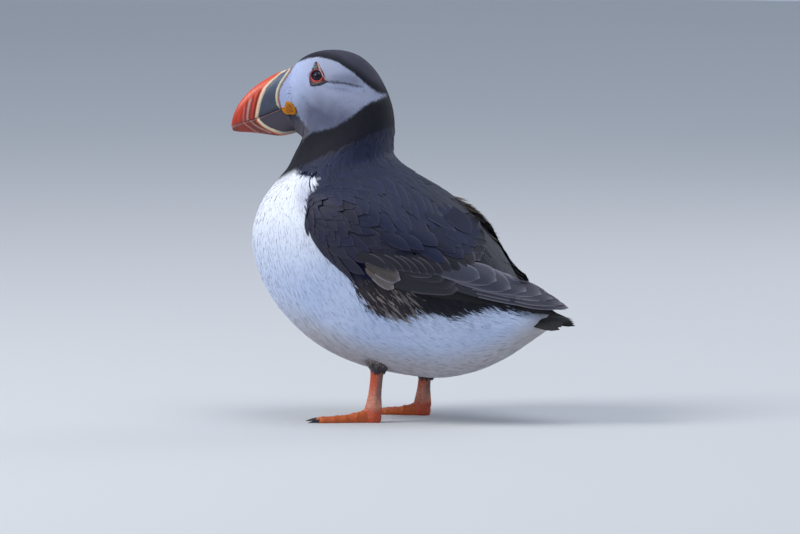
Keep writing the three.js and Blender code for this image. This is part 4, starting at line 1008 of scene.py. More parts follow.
    # scapulars drape from the back over the wing's upper edge
    S1, R1, LN, WD = [], [], [], []
    for i, s in enumerate(np.arange(0.08, 0.66, 0.026)):
        for r in (0.70 + 0.1 * (i % 2), 0.86, 0.98):
            if s > 0.60 and r < 0.8:
                continue
            S1.append(s + g.normal() * 0.008); R1.append(r + g.normal() * 0.03); LN.append(22 * (1 + 0.1 * g.normal())); WD.append(8.2 * (1 + 0.1 * g.normal()))
    S1, R1, LN, WD = map(np.array, (S1, R1, LN, WD))
    m = len(S1)
    q = np.stack([S1 * 8.0, R1 * 3.0], 1)
    base = mixc(np.broadcast_to(C["wing"], (m, 3)), np.broadcast_to(C["mantle"], (m, 3)), smooth(0.6, 1.0, R1)) * (0.92 + 0.16 * g.random((m, 1)))
    wing_leaves("scapulars_" + tag, side, S1 - LN / SPAN, R1 + 0.12, S1, R1 - 0.06, WD, -1.0 + 0 * S1, 1.0 + 0.35 * noise(q, 1.2, 41) - 0.4 * smooth(0.5, 0.62, S1), 10, 6, COVERT_LEAF, 0.13, M_COVERT, base, bow=0.35, seed_off=21 + int(far), wave=0.3, dip=0.3, keep=(-0.03, 1.22))
    # two long scapulars with pale tips, and the grey tab under the coverts
    L = np.array([[16.0, 126.0, 33.7, 107.6, 3.6, 1.0, -0.4, 1.45], [9.5, 120.0, 30.3, 106.2, 3.8, 0.6, -0.4, 1.35]])
    side_leaves("scapulars_pale_" + tag, side, L, 10, 6, COVERT_LEAF, 0.14, M_QUILL2, tinted(C["mantle"], 2, 3, 0.05), seed_off=31, patch=(0.12, 0.05))
    L = np.array([[-20.5, 86.0, -3.8, 75.0, 7.6, 0.4, 0.2, 1.3], [-20.5, 88.5, -0.2, 79.6, 8.8, 0.5, 0.3, 1.7]])
    side_leaves("tab_" + tag, side, L, 9, 6, SPOON, 0.14, M_TAB, tinted(C["tab"], 2, 3, 0.06), seed_off=32, patch=(0.1, 0.05), wave=0.2)


def wing_area(p, inset):
    """Signed distance inside the folded wing's outline in the side view, in millimetres."""
    s = np.linspace(0.0, 1.0, 40)
    poly = np.vstack([at01(WING_LOW, s), at01(WING_TOP, s)[::-1]])
    return inside(p[:, 1], p[:, 2], poly) - inset


def build_dark_coat():
    def dens(t, p):
        q = body(t, p)
        h, v = side_view(q)
        white = inside(h, v, WHITE)
        under_wing = (wing_area(q, 6.0) > 0) & (np.abs(q[:, 0]) > 8)
        return (t > 11.0) * (white < 2.0) * (~under_wing) * (1.0 - 0.55 * smooth(11.5, 15, t))
    t, p = sample_body(5400, dens, 11.0, TN - 0.4, seed=23)
    ts, ps = trace(t, p, np.interp(t, [11, 12.5, 14, 18, 22, 25, 28], [6, 9, 14, 19, 18, 17, 12]) * 1.1, np.zeros(len(t)), 4)
    clear = np.all([inside(*side_view(body(a, b)), WHITE) < -0.9 for a, b in zip(ts, ps)], axis=0)
    t, p = t[clear], p[clear]
    q = body(t, p)
    h, v = side_view(q)
    low = (wing_area(q, -60) > 0) & (np.abs(q[:, 0]) > 12) & (q[:, 2] < np.interp(q[:, 1], WING_LOW[:, 0], WING_LOW[:, 1]) + 7) & (q[:, 1] > -34) & (q[:, 1] < 70)
    back = ~low
    m = int(back.sum())
    tt, pp = t[back], p[back]
    g = np.random.default_rng(24)
    ln = np.interp(tt, [11, 12.5, 14, 18, 22, 25, 28], [6, 9, 14, 19, 18, 17, 12]) * (0.8 + 0.4 * g.random(m))
    wd = np.interp(tt, [11, 12.5, 14, 18, 22, 26, 28], [2.2, 3.6, 5.6, 7.4, 6.6, 5.2, 4]) * (0.8 + 0.4 * g.random(m))
    shade = 1 + 0.12 * g.normal(size=(m, 1))
    for key, sel, sd in (("coat_mantle_front", tt < 14, 41), ("coat_mantle", (tt >= 14) & (tt < 20), 42), ("coat_rump", tt >= 20, 43)):
        k = int(sel.sum())
        coat(key, tt[sel], pp[sel], ln[sel], wd[sel], 0.16, 0.10, -0.8 * depth_at(tt[sel]), 0.1 + jitter(k, sd + 9, 0.2), ROUND, 7, 4, jitter(k, sd + 5, 0.12), lambda a, b, k=k, sel=sel, sd=sd: np.clip(coat_colour(a, b, jitter(k, sd + 25)) * shade[sel], 0, 1), M_DARK, sd, bow=0.3)
    # streaky flank under the wing
    t, p = sample_body(9000, lambda t, p: dens(t, p) * ((wing_area(body(t, p), -30) > 0)), 12, TN - 3, seed=27)
    q = body(t, p)
    h, v = side_view(q)
    ok = (np.abs(q[:, 0]) > 12) & (q[:, 2] < np.interp(q[:, 1], WING_LOW[:, 0], WING_LOW[:, 1]) + 8) & (q[:, 1] > -36) & (q[:, 1] < 74)
    tt, pp = t[ok], p[ok]
    m = len(tt)
    g = np.random.default_rng(28)
    ln = 14 * (0.7 + 0.5 * g.random(m))
    wd = 1.9 * (0.7 + 0.6 * g.random(m))
    pale = (g.random(m) < 0.3) & (h[ok] < 8) & (h[ok] > -26)
    shade, streak = 1 + 0.15 * g.normal(size=(m, 1)), 0.7 + 0.5 * g.random((m, 1))

    def look(a, b):
        c = coat_colour(a, b, jitter(m, 29))
        darkness = smooth(0.35, 0.12, c.mean(1))[:, None]
        c = c * (1 + (shade - 1) * darkness)
        return np.clip(np.where(pale[:, None], C["flankpale"] * streak * darkness + c * (1 - darkness), c), 0, 1)
    coat("coat_flank", tt, pp, ln, wd, 0.12, 0.1, -0.8 * depth_at(tt), -0.1 + jitter(m, 30, 0.3), SOFT, 4, 2, jitter(m, 31, 0.14), look, M_NECK, 44)


def build_tail():
    """Twelve tail feathers fanned a little, the middle pair on top."""
    n = 12
    k = np.arange(n) - (n - 1) / 2
    fan = k / (n / 2)
    nu = 8
    C_, S_, N_ = [], [], []
    for i in range(nu + 1):
        u = i / nu
        y = 70 + (102.6 - 1.8 * np.abs(fan) ** 1.5 - 70) * u
        x = fan * (7.0 + 6.2 * u) * 1.15
        z = 64.0 - 3.9 * u - (0.8 + 5.0 * u) * np.abs(fan) ** 1.6 + 0.7 * (1 - np.abs(fan)) * u
        C_.append(np.stack([x, y, z], 1))
    C_ = np.array(C_)
    F = np.gradient(C_, axis=0)
    F = unit(F)
    tilt = fan * 0.8
    N0 = np.stack([np.sin(tilt), np.zeros(n), np.cos(tilt)], 1)
    for i in range(nu + 1):
        s = unit(np.cross(np.broadcast_to(N0, F[i].shape), F[i]))
        S_.append(s)
        N_.append(unit(np.cross(F[i], s)))
    v, tri, al, ac, leaf, nrm = vanes(C_, np.array(S_), np.array(N_), np.full(n, 7.6), BLUNT, 0.3, 0.05, 6)
    uv = np.stack([0.04 + (leaf + 0.5) * 0.92 / n + ac * 0.035, 0.05 + 0.9 * al], 1)
    seed = np.random.default_rng(5).random(n)
    ob = make_mesh("tail_feathers", v, [tri], dict(tone=tinted(C["black"] * 0.7, n, 7, 0.1)[leaf], seed=seed[leaf], along=al, across=ac), uv, mat=M_QUILL0, normals=nrm)
    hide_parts("tail")


def build_back_tuft():
    """A wisp of loose grey-brown down that stands out on the right of the back."""
    n = 420
    g = np.random.default_rng(61)
    t = 17.3 + 0.42 * g.normal(size=n)
    p = -0.16 - 0.10 * g.random(n) - 0.03 * g.normal(size=n)
    ln = 9 * (0.6 + 0.6 * g.random(n))
    col = mixc(np.broadcast_to(C["fuzz"], (n, 3)), np.broadcast_to(C["flank"], (n, 3)), 0.1 + g.random(n) * 0.5)
    coat("tuft_back", t, p, ln, 0.9 + 0.5 * g.random(n), 0.12, 0.05, np.full(n, -0.6), 1.4 + 2.8 * g.random(n), SOFT, 4, 2, g.normal(size=n) * 0.35, col, M_NECK, 62)


def build_thigh_coat():
    """Short tufts down the feathered thighs, dark at the ankle."""
    for side, (cx, cuff, cuffy) in ((1, (23.5, 30.2, -4.4)), (-1, (-23.5, 22.5, 7.6))):
        g = np.random.default_rng(80 + side)
        n = 900
        a = g.random(n) * 2 * math.pi
        k0 = 0.62 * g.random(n) ** 1.2 + 0.06
        dk = 5.5 * (0.7 + 0.6 * g.random(n)) / (62 - cuff)

        def at(k, lift):
            kk = np.maximum(k, 0.0)
            r1, r2 = 4.6 + 12.5 * kk ** 0.75 + lift, 5.2 + 14 * kk ** 0.7 + lift
            r1, r2 = r1 * np.where(k < 0, 1 + k * 3, 1), r2 * np.where(k < 0, 1 + k * 3, 1)
            return np.stack([cx - side * 2.5 * kk + r1 * np.cos(a), cuffy + 1.5 * kk + r2 * np.sin(a), cuff + 1.0 + (62 - cuff) * k], 1)
        P = np.array([at(k0, -0.5), at(k0 - dk * 0.35, 0.15), at(k0 - dk * 0.7, 0.3), at(k0 - dk, 0.15)])
        N_ = np.broadcast_to(np.stack([np.cos(a), np.sin(a), np.full(n, -0.3)], 1), P.shape)
        F = unit(P[-1] - P[0])
        S_ = np.broadcast_to(unit(np.cross(N_[0], F)), P.shape)
        v, tri, al, ac, leaf, nr = vanes(P, S_, unit(N_), 1.6 * (0.8 + 0.4 * g.random(n)), SPIKE, 0.1, 0.08, 2, None, 0.25)
        z = v[:, 2] + 1.6 * g.normal(size=n)[leaf]
        tone = mixc(np.broadcast_to(C["flank"], (len(v), 3)), np.broadcast_to(C["under"] * 0.9, (len(v), 3)), smooth(cuff + 0.5, cuff + 10, z))
        seed = g.random(n)
        root = skin_uv(21.4 + 0.05 * a, side * (2.0 + 0.35 * np.cos(a)))
        make_mesh("coat_thigh_" + ("left" if side > 0 else "right"), v, [tri], dict(tone=tone, seed=seed[leaf], along=al, across=ac), patch_uv(root, al, ac, leaf), mat=M_WHITE, normals=nr)


build_thigh_coat()
build_back_tuft()
build_head_coat()
build_white_coat()
build_dark_coat()
build_wing(1)
build_wing(-1)
build_tail()

# ------------------------------------------------------------------ bill
CULMEN = np.array([[-56.5, 199], [-63.6, 199.9], [-68.2, 198.7], [-72.8, 196.9], [-79.2, 193.4], [-85.6, 188.9], [-90.6, 184.1], [-94.6, 178.7], [-97.4, 172.4], [-98.4, 167.4]])
MOUTH = np.array([[-62, 180.6], [-70, 177.6], [-73.6, 176], [-77.2, 174.4], [-80.8, 172.9], [-84.4, 171.6], [-88, 170.5], [-91.6, 169.4], [-95, 168.2], [-98.2, 166.6]])
GONYS = np.array([[-54, 165.6], [-61.4, 163.2], [-66.4, 161.9], [-71.4, 161.4], [-76.4, 161.9], [-81.2, 162.6], [-85.8, 163.1], [-90, 163.4], [-94, 163.6], [-97.4, 164.2]])
BILL_HALF = np.array([[7.4], [7.2], [6.6], [5.9], [5.2], [4.5], [3.8], [3.1], [2.3], [1.2]])
BAND_FRONT = [(-66.5, 201), (-70.5, 197.6), (-76.4, 193.1), (-80.0, 189.1), (-81.8, 185.2), (-82.9, 182.4), (-83.8, 178.8), (-84.5, 175.2), (-84.8, 172.0), (-84.9, 169)]
BAND_REAR = [(-65.5, 200), (-69.2, 197.3), (-74.3, 193.1), (-77.9, 189.1), (-79.7, 185.2), (-80.9, 182.4), (-81.7, 178.8), (-82.5, 175.2), (-83.1, 172.0), (-83.3, 169)]
LOWER_ARC = [(-83.4, 173.5), (-83.2, 172.2), (-82.5, 170.2), (-80.0, 167.7), (-76.4, 165.6), (-72.9, 164.1), (-69.3, 163.0), (-65.7, 163.1), (-62.2, 163.8), (-58, 165)]
LOWER_LINES = [[(-89.2, 172.5), (-87.7, 170.6), (-85.7, 168.4), (-83.6, 167.0), (-80.5, 165.2), (-76, 163.2)], [(-92, 170), (-90.4, 168.1), (-87.9, 166.3), (-85.4, 164.5), (-83, 163.2)]]


def ahead_of(y, z, line):
    """Distance to a line in the side view, above 0 on the side of the bill's tip; the line runs from top to bottom or from front to back."""
    L = np.asarray(line, float)
    pt = np.stack([y, z], 1)
    d, s = np.full(len(pt), 1e9), np.zeros(len(pt))
    for a, b in zip(L[:-1], L[1:]):
        ab = b - a
        k = np.clip(((pt - a) @ ab) / (ab @ ab), 0, 1)
        e = pt - a - k[:, None] * ab
        dd = np.linalg.norm(e, axis=1)
        cr = ab[0] * (pt[:, 1] - a[1]) - ab[1] * (pt[:, 0] - a[0])
        s = np.where(dd < d, np.sign(cr), s)
        d = np.minimum(d, dd)
    return d, s


def bell(x, mid, wide):
    return np.exp(-((x - mid) / wide) ** 2)


def blendc(base, colour, k):
    return base * (1 - k[:, None]) + np.asarray(colour) * k[:, None]


B = {k: lin(v) for k, v in dict(red="#d2401f", redtop="#e04c22", reddeep="#b22d1a", tip="#9c2a1c", groove="#4a120e", ridge_highlight="#bfa3a2", cream="#ecdcbc", salmon="#e0936c", slate="#454b5e", slatelow="#2c2e3a", slatetop="#5d6a80",
    lower="#4a4350", lowline="#7a1f1c", orange="#d8602c", brown="#8a3f30", lowtip_shade="#7d3328", pink="#c79a92", beige="#b9aa98", mint="#d6d6bc", mintlow="#cfc3a4", peach="#ecd2b4", mauve="#94736f", rose="#a9646a",
    yellow="#c87c04", amber="#9e5603", rim="#dc9a10", fold_shade="#6e3a03", leg="#d2552e", legpale="#e29a80", legrear="#7c655e", legdark="#a03a1e", web="#d4641f", webdark="#b3461c", claw="#1b191b").items()}


def upper_look(y, z, r):
    """Colour, relief and growth-line distance on the upper half of the bill."""
    d1, s1 = ahead_of(y, z, BAND_FRONT)
    dF = d1 * np.where(y < np.interp(z, [p[1] for p in BAND_FRONT[::-1]], [p[0] for p in BAND_FRONT[::-1]]), 1, -1)
    d2, s2 = ahead_of(y, z, BAND_REAR)
    dR = d2 * np.where(y < np.interp(z, [p[1] for p in BAND_REAR[::-1]], [p[0] for p in BAND_REAR[::-1]]), 1, -1)
    n = len(y)
    p = np.stack([y, z], 1)
    wob = noise(p, 0.5, 3) * 0.12
    col = blendc(np.broadcast_to(B["red"], (n, 3)), B["redtop"], smooth(0.55, 0.98, r) * smooth(-97, -88, y))
    col = blendc(col, B["reddeep"], smooth(0.5, 0.05, r) * 0.6)
    col = blendc(col, B["tip"], smooth(-93, -98, y) * 0.6)
    h = np.zeros(n)
    low = lambda z0: smooth(z0 + 1.5, z0 - 2.5, z)
    d = dF + wob
    # painted shade darkens the sunk grooves; the ridges between carry painted lilac highlights
    for mid, wd, top, dark, deep in ((0.55, 0.5, 187.5, 0.85, 0.26), (2.9, 0.55, 184.5, 0.7, 0.24), (5.5, 0.6, 181.5, 0.65, 0.2), (7.6, 0.5, 177.5, 0.4, 0.12)):
        k = bell(d, mid, wd) * low(top)
        col = blendc(col, B["groove"], k * dark)
        h -= deep * k
    k = bell(d, 1.7, 0.6) * low(186)
    h += 0.14 * k
    k = bell(d, 4.2, 0.65) * low(183)
    col = blendc(col, B["ridge_highlight"], k * 0.75)
    h += 0.14 * k
    k = bell(d, 6.6, 0.5) * low(179)
    col = blendc(col, B["ridge_highlight"], k * 0.28)
    h += 0.08 * k
    # slate shield, then the pale band over its front edge
    sl = smooth(0.15, -0.25, dR + wob)
    slate = blendc(np.broadcast_to(B["slate"], (n, 3)), B["slatetop"], smooth(183, 195, z) * 0.8)
    slate = blendc(slate, B["slatelow"], smooth(3.5, 0.4, z - np.interp(y, MOUTH[::-1, 0], MOUTH[::-1, 1])) * 0.7)
    col = col * (1 - sl[:, None]) + slate * sl[:, None]
    h += sl * 0.12
    bd = smooth(-0.2, 0.2, -(dF + wob)) * smooth(-0.2, 0.2, dR + wob)
    across = np.clip(dR / np.maximum(dR - dF, 0.1), 0, 1)
    band = blendc(np.broadcast_to(B["cream"], (n, 3)), B["salmon"], smooth(0.45, 0.95, across) * 0.85)
    band = blendc(band, B["salmon"], smooth(175, 171, z) * 0.4)
    col = col * (1 - bd[:, None]) + band * bd[:, None]
    h += 0.42 * np.sin(np.clip(across, 0, 1) * math.pi) * bd
    h -= 0.12 * bell(dR, -0.5, 0.35)
    # flesh behind the pale rim
    rim = np.interp(z, [170, 177.6, 181, 184.5, 189, 193.8, 197.7, 200], [-67.5, -69.2, -70.9, -71.2, -70.3, -68.2, -66, -63])
    col = blendc(col, B["mauve"], smooth(0.2, 0.9, y - rim))
    return col, h, dF


def lower_look(y, z, r):
    d, s = ahead_of(y, z, LOWER_ARC)
    arc_z = np.interp(y, [p[0] for p in LOWER_ARC[1:]], [p[1] for p in LOWER_ARC[1:]])
    front = (y < -83.3) | ((z < arc_z) & (y < -58))
    dA = np.where(front, d, -d)
    n = len(y)
    p = np.stack([y, z], 1)
    wob = noise(p, 0.5, 5) * 0.1
    # painted shade: the lower bill's red is painted brown, darkest at the tip, under the upper bill's hooked tip
    col = blendc(np.broadcast_to(B["brown"], (n, 3)), B["orange"], smooth(3.2, 0.8, dA))
    col = blendc(col, B["lowtip_shade"], smooth(-90, -97, y) * 0.8)
    col = blendc(col, B["reddeep"], smooth(4, 7, dA) * smooth(-97, -90, y) * 0.5)
    h = np.zeros(n)
    # painted shade darkens the sunk groove in front of the pale arc
    k = bell(dA + wob, 2.1, 0.45) * smooth(-64, -72, y)
    col = blendc(col, B["groove"], k * 0.8); h -= 0.2 * k
    # along each growth line a painted pale pink highlight, with painted shade in the groove beside it
    for i, line in enumerate(LOWER_LINES):
        dl, _ = ahead_of(y, z, line)
        k = bell(dl + wob, 0, 0.42)
        col = blendc(col, B["pink"], k * (0.75, 0.45)[i]); h += 0.1 * k
        k = bell(dl + wob, 1.0, 0.4) * (y < -76)
        col = blendc(col, B["groove"], k * 0.45); h -= 0.1 * k
    inner = smooth(0.6, -0.1, dA + 0.7 + wob)
    tri = blendc(np.broadcast_to(B["lower"], (n, 3)), B["slatelow"], smooth(2.5, 0.3, np.interp(y, MOUTH[::-1, 0], MOUTH[::-1, 1]) - z) * 0.5)
    col = col * (1 - inner[:, None]) + tri * inner[:, None]
    bd = bell(dA, 0, 0.85) > 0.5
    k = smooth(0.95, 0.6, np.abs(dA + wob))
    cream = blendc(np.broadcast_to(B["cream"], (n, 3)), B["beige"], smooth(-75, -66, y))
    col = col * (1 - k[:, None]) + cream * k[:, None]
    h += 0.3 * np.sqrt(np.clip(1 - (dA / 0.9) ** 2, 0, 1))
    # a thin pale line along the cutting edge
    e = np.interp(y, MOUTH[::-1, 0], MOUTH[::-1, 1]) - z
    col = blendc(col, B["pink"], bell(e, 0.75, 0.32) * smooth(-62, -72, y) * 0.5)
    return col, h, dA


def horn_mat(name, rough=0.38, bump=0.35, streak=0.22):
    m, nt, bs = new_mat(name)
    tone, lane = attr(nt, "tone"), attr(nt, "lane")
    tc = node(nt, "ShaderNodeTexCoord")
    comb = node(nt, "ShaderNodeCombineXYZ")
    sep = node(nt, "ShaderNodeSeparateXYZ")
    nt.links.new(tc.outputs["Object"], sep.inputs[0])
    nt.links.new(math_node(nt, "MULTIPLY", lane.outputs["Fac"], 2.4), comb.inputs[0])
    nt.links.new(math_node(nt, "MULTIPLY", sep.outputs[2], 130.0), comb.inputs[1])
    nt.links.new(math_node(nt, "MULTIPLY", sep.outputs[0], 60.0), comb.inputs[2])
    n1 = node(nt, "ShaderNodeTexNoise", i_Scale=1.0, i_Detail=5.0, i_Roughness=0.62)
    nt.links.new(comb.outputs[0], n1.inputs["Vector"])
    n2 = node(nt, "ShaderNodeTexNoise", i_Scale=900.0, i_Detail=4.0, i_Roughness=0.65)
    nt.links.new(tc.outputs["Object"], n2.inputs["Vector"])
    c = mix_rgb(nt, "MULTIPLY", 1.0, tone.outputs["Color"], ramp(nt, n1.outputs["Fac"], [(0.25, (1 - streak,) * 3), (0.75, (1 + streak * 0.5,) * 3)]))
    c = mix_rgb(nt, "MULTIPLY", 1.0, c, ramp(nt, n2.outputs["Fac"], [(0.3, (0.86,) * 3), (0.7, (1.08,) * 3)]))
    nt.links.new(c, bs.inputs["Base Color"])
    r = ramp(nt, n2.outputs["Fac"], [(0.3, (rough - 0.1,) * 3), (0.75, (rough + 0.14,) * 3)])
    nt.links.new(r, bs.inputs["Roughness"])
    bs.inputs["Specular IOR Level"].default_value = 0.5
    h = math_node(nt, "ADD", math_node(nt, "MULTIPLY", n1.outputs["Fac"], 0.7), math_node(nt, "MULTIPLY", n2.outputs["Fac"], 0.3))
    b = node(nt, "ShaderNodeBump", i_Strength=bump, i_Distance=0.00025)
    nt.links.new(h, b.inputs["Height"])
    nt.links.new(b.outputs[0], bs.inputs["Normal"])
    return m


def flesh_mat(name, rough=0.45, scale=700.0, bump=0.6, spec=0.5, subsurface=0.08):
    m, nt, bs = new_mat(name)
    tone = attr(nt, "tone")
    tc = node(nt, "ShaderNodeTexCoord")
    v = node(nt, "ShaderNodeTexVoronoi", i_Scale=scale)
    n2 = node(nt, "ShaderNodeTexNoise", i_Scale=scale * 0.4, i_Detail=5.0, i_Roughness=0.6)
    nt.links.new(tc.outputs["Object"], v.inputs["Vector"])
    nt.links.new(tc.outputs["Object"], n2.inputs["Vector"])
    c = mix_rgb(nt, "MULTIPLY", 1.0, tone.outputs["Color"], ramp(nt, n2.outputs["Fac"], [(0.3, (0.8,) * 3), (0.7, (1.1,) * 3)]))
    c = mix_rgb(nt, "MULTIPLY", 1.0, c, ramp(nt, v.outputs["Distance"], [(0.0, (1.05,) * 3), (0.7, (0.82,) * 3)]))
    nt.links.new(c, bs.inputs["Base Color"])
    nt.links.new(ramp(nt, n2.outputs["Fac"], [(0.3, (rough - 0.08,) * 3), (0.7, (rough + 0.14,) * 3)]), bs.inputs["Roughness"])
    bs.inputs["Specular IOR Level"].default_value = spec
    bs.inputs["Subsurface Weight"].default_value = subsurface
    bs.inputs["Subsurface Radius"].default_value = (1.0, 0.35, 0.2)
    bs.inputs["Subsurface Scale"].default_value = 0.0008
    h = math_node(nt, "ADD", math_node(nt, "MULTIPLY", v.outputs["Distance"], -0.6), math_node(nt, "MULTIPLY", n2.outputs["Fac"], 0.5))
    b = node(nt, "ShaderNodeBump", i_Strength=bump, i_Distance=0.0002)
    nt.links.new(h, b.inputs["Height"])
    nt.links.new(b.outputs[0], bs.inputs["Normal"])
    return m


M_BILL = horn_mat("bill_horn")
M_CERE = flesh_mat("cere_skin", 0.5, 900, 0.5)
M_ROSETTE = flesh_mat("rosette_skin", 0.55, 800, 0.5, spec=0.25)
M_LEG = flesh_mat("leg_skin", 0.42, 1500, 0.7, subsurface=0.05)
M_CLAW = horn_mat("claw_horn", 0.3, 0.4, 0.3)


def closed_grid(P):
    """Faces of a grid closed round its second axis, with both ends capped by a point."""
    n, m = P.shape[:2]
    i, j = np.meshgrid(np.arange(n - 1), np.arange(m), indexing="ij")
    q = np.stack([i * m + j, i * m + (j + 1) % m, (i + 1) * m + (j + 1) % m, (i + 1) * m + j], -1).reshape(-1, 4)
    k = np.arange(m)
    v = np.vstack([P.reshape(-1, 3), P[0].mean(0), P[-1].mean(0)])
    return v, [q, np.stack([np.full(m, n * m), (k + 1) % m, k], 1), np.stack([np.full(m, n * m + 1), (n - 1) * m + k, (n - 1) * m + (k + 1) % m], 1)]


def build_bill():
    for name, edge, bow, power, look, scale, node_name, gap in (("bill_upper_horn", CULMEN, 3.6, 2.2, upper_look, 1.0, "bill_upper", 0.12), ("bill_lower_horn", GONYS, -0.6, 2.6, lower_look, 0.9, "bill_lower", -0.12)):
        ns, nr = 190, 96
        s = np.linspace(0, 1, ns)
        m, c, half = at01(MOUTH, s), at01(edge, s), at01(BILL_HALF, s)[:, 0] * scale
        L = np.linalg.norm(c - m, axis=1)
        nrm = np.stack([-(c[:, 1] - m[:, 1]) / L, (c[:, 0] - m[:, 0]) / L], 1)
        sd = np.where(nrm[:, 0] < 0, 1, -1)
        b = bow * np.sin(math.pi * s) * 0.35 + bow * (1 - s) * 0.75
        a = np.linspace(0, math.pi / 2, nr)
        r = np.sin(a) ** 1.0
        # left half from mouth to ridge, then the right half back
        R = np.broadcast_to(r, (ns, nr))
        k = 4 * R * (1 - R) * (b * sd)[:, None]
        Y = m[:, 0:1] + (c - m)[:, 0:1] * R + nrm[:, 0:1] * k
        Z = m[:, 1:2] + (c - m)[:, 1:2] * R + nrm[:, 1:2] * k + gap * (1 - R)
        X = half[:, None] * (0.07 + 0.93 * np.clip(1 - R ** power, 0, None) ** 0.62)
        col, h, lane = look(Y.ravel(), Z.ravel(), R.ravel())
        col, h, lane = col.reshape(ns, nr, 3), h.reshape(ns, nr), lane.reshape(ns, nr)
        h = h * smooth(0.0, 0.06, R) * smooth(1.0, 0.93, R)
        ends = np.clip(np.minimum(1.0, (1 - s) / 0.02), 0.25, 1)[:, None]
        X = (X + h) * ends
        P = np.concatenate([np.stack([X, Y, Z], -1), np.stack([-X, Y, Z], -1)[:, ::-1]], 1)
        v, f = closed_grid(P)
        tone = np.concatenate([col, col[:, ::-1]], 1).reshape(-1, 3)
        ln = np.concatenate([lane, lane[:, ::-1]], 1).ravel()
        tone = np.vstack([tone, tone[:1], tone[-1:]])
        ln = np.concatenate([ln, ln[:1], ln[-1:]])
        v = turned(v, HEAD_TURN)
        ob = make_mesh(name, v, f, dict(tone=tone, lane=ln), mat=M_BILL)
        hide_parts(node_name)


def build_cere():
    """The pale fleshy rim at the base of the upper bill, with a mauve strip behind it."""
    n, m = 120, 28
    k = np.linspace(0, 1, n)
    a, b, bow = (-69.8, 177.6), (-63.9, 199.9), 4.4
    y = a[0] + (b[0] - a[0]) * k - bow * np.sin(math.pi * np.minimum(1, k * 1.05)) * (0.62 + 0.38 * (1 - k))
    z = a[1] + (b[1] - a[1]) * k
    half = 7.5 * (0.16 + 0.84 * np.maximum(0, 1 - k ** 2.4) ** 0.6) + 0.54
    left = np.stack([half, y, z], 1)
    path = np.vstack([left, (left * [-1, 1, 1])[::-1][1:]])
    d = unit(np.gradient(path, axis=0))
    out = unit(np.cross(d, np.broadcast_to([0, -1.0, 0], d.shape)))
    f = np.cross(out, d)
    an = np.linspace(0, 2 * math.pi, m, endpoint=False)
    g = np.random.default_rng(4)
    kk = np.concatenate([k, k[::-1][1:]])
    taper = 0.55 + 0.45 * smooth(0.0, 0.1, kk)
    u = np.cos(an)[None] * (1.75 * taper)[:, None]
    v = np.sin(an)[None] * (1.15 * taper)[:, None] - 0.45
    # a fold between the two strips
    w_ = u * np.sign(f[:, 1:2])
    v = v - 0.38 * np.exp(-((w_ + 0.55) / 0.26) ** 2) * (v > 0)
    sgn = 1
    P = path[:, None] + f[:, None] * u[..., None] + out[:, None] * v[..., None]
    P = P + noise(P.reshape(-1, 3), 1.4, 8).reshape(P.shape[:2])[..., None] * out[:, None] * 0.07
    vv, ff = closed_grid(P)
    fy = np.sign(f[:, 1]).mean()
    back = (u * np.sign(f[:, 1:2])) > 0.35  # towards the face
    K = np.broadcast_to(kk[:, None], u.shape)
    rearness = smooth(-0.7, -0.4, w_)
    mint = blendc(np.broadcast_to(B["mintlow"], (u.size, 3)), B["mint"], smooth(0.1, 0.5, K.ravel()))
    mint = blendc(mint, B["peach"], smooth(0.75, 0.95, K.ravel()))
    rear = blendc(np.broadcast_to(B["rose"], (u.size, 3)), B["mauve"], smooth(0.1, 0.45, K.ravel()))
    tone = mint * (1 - rearness.reshape(-1, 1)) + rear * rearness.reshape(-1, 1)
    tone = blendc(tone, C["faceup"], smooth(0.35, 0.7, w_).ravel())
    tone = np.vstack([tone, tone[:1], tone[-1:]])
    ob = make_mesh("cere_rim", turned(vv, HEAD_TURN), ff, dict(tone=tone), mat=M_CERE)
    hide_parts("cere")
    # short tufts carry the face forward over its rear half
    g = np.random.default_rng(44)
    N = 2000
    at = g.random(N) * (len(path) - 1)
    i0 = np.minimum(at.astype(int), len(path) - 2)
    w = (at - i0)[:, None]
    mid = lambda A: A[i0] * (1 - w) + A[i0 + 1] * w
    P0, D0, O0 = mid(path), unit(mid(d)), unit(mid(out))
    F0 = unit(mid(f * np.sign(f[:, 1:2])))
    k0 = (kk[i0] * (1 - w[:, 0]) + kk[i0 + 1] * w[:, 0])
    start = 0.1 + 4.6 * g.random(N)
    ln = 2.3 * (0.8 + 0.4 * g.random(N))
    rise = lambda u_: 0.86 + 0.08 * np.minimum(u_, 1.6) + 0.02 * u_
    rows3 = []
    for q in (0, 1 / 3, 2 / 3, 1):
        uu = start + ln * q
        rows3.append(P0 + F0 * uu[:, None] + O0 * (rise(uu) + np.array([-0.35, 0.0, 0.04, 0.0])[int(round(q * 3))] + 0.02 * start)[:, None])
    rows3 = np.array(rows3)
    S3 = np.broadcast_to(np.cross(O0, F0), rows3.shape)
    v3, t3, al, ac, leaf, nr = vanes(rows3, S3, np.broadcast_to(O0, rows3.shape), np.full(N, 1.25), SPIKE, 0.07, 0.08, 2, None, 0.2)
    side_in = inside(v3[:, 1], v3[:, 2], FACE) + 0.6 * smooth(0.9, 0.7, k0)[leaf]
    tone = mixc(np.broadcast_to(C["crownedge"], (len(v3), 3)), np.broadcast_to(C["faceup"], (len(v3), 3)), smooth(-0.35, 0.35, side_in))
    seed = g.random(N)
    phi0 = np.where(at < len(k) - 1, 1.0, -1.0) * (1.9 * (1 - k0) + 0.05)
    make_mesh("coat_face_front", turned(v3, HEAD_TURN), [t3], dict(tone=tone, seed=seed[leaf], along=al, across=ac), patch_uv(skin_uv(0.4 + start * 0.3, phi0), al, ac, leaf), mat=M_FACE, normals=turned(nr + np.array([0, NECK_Y, 0]), HEAD_TURN) - np.array([0, NECK_Y, 0]))


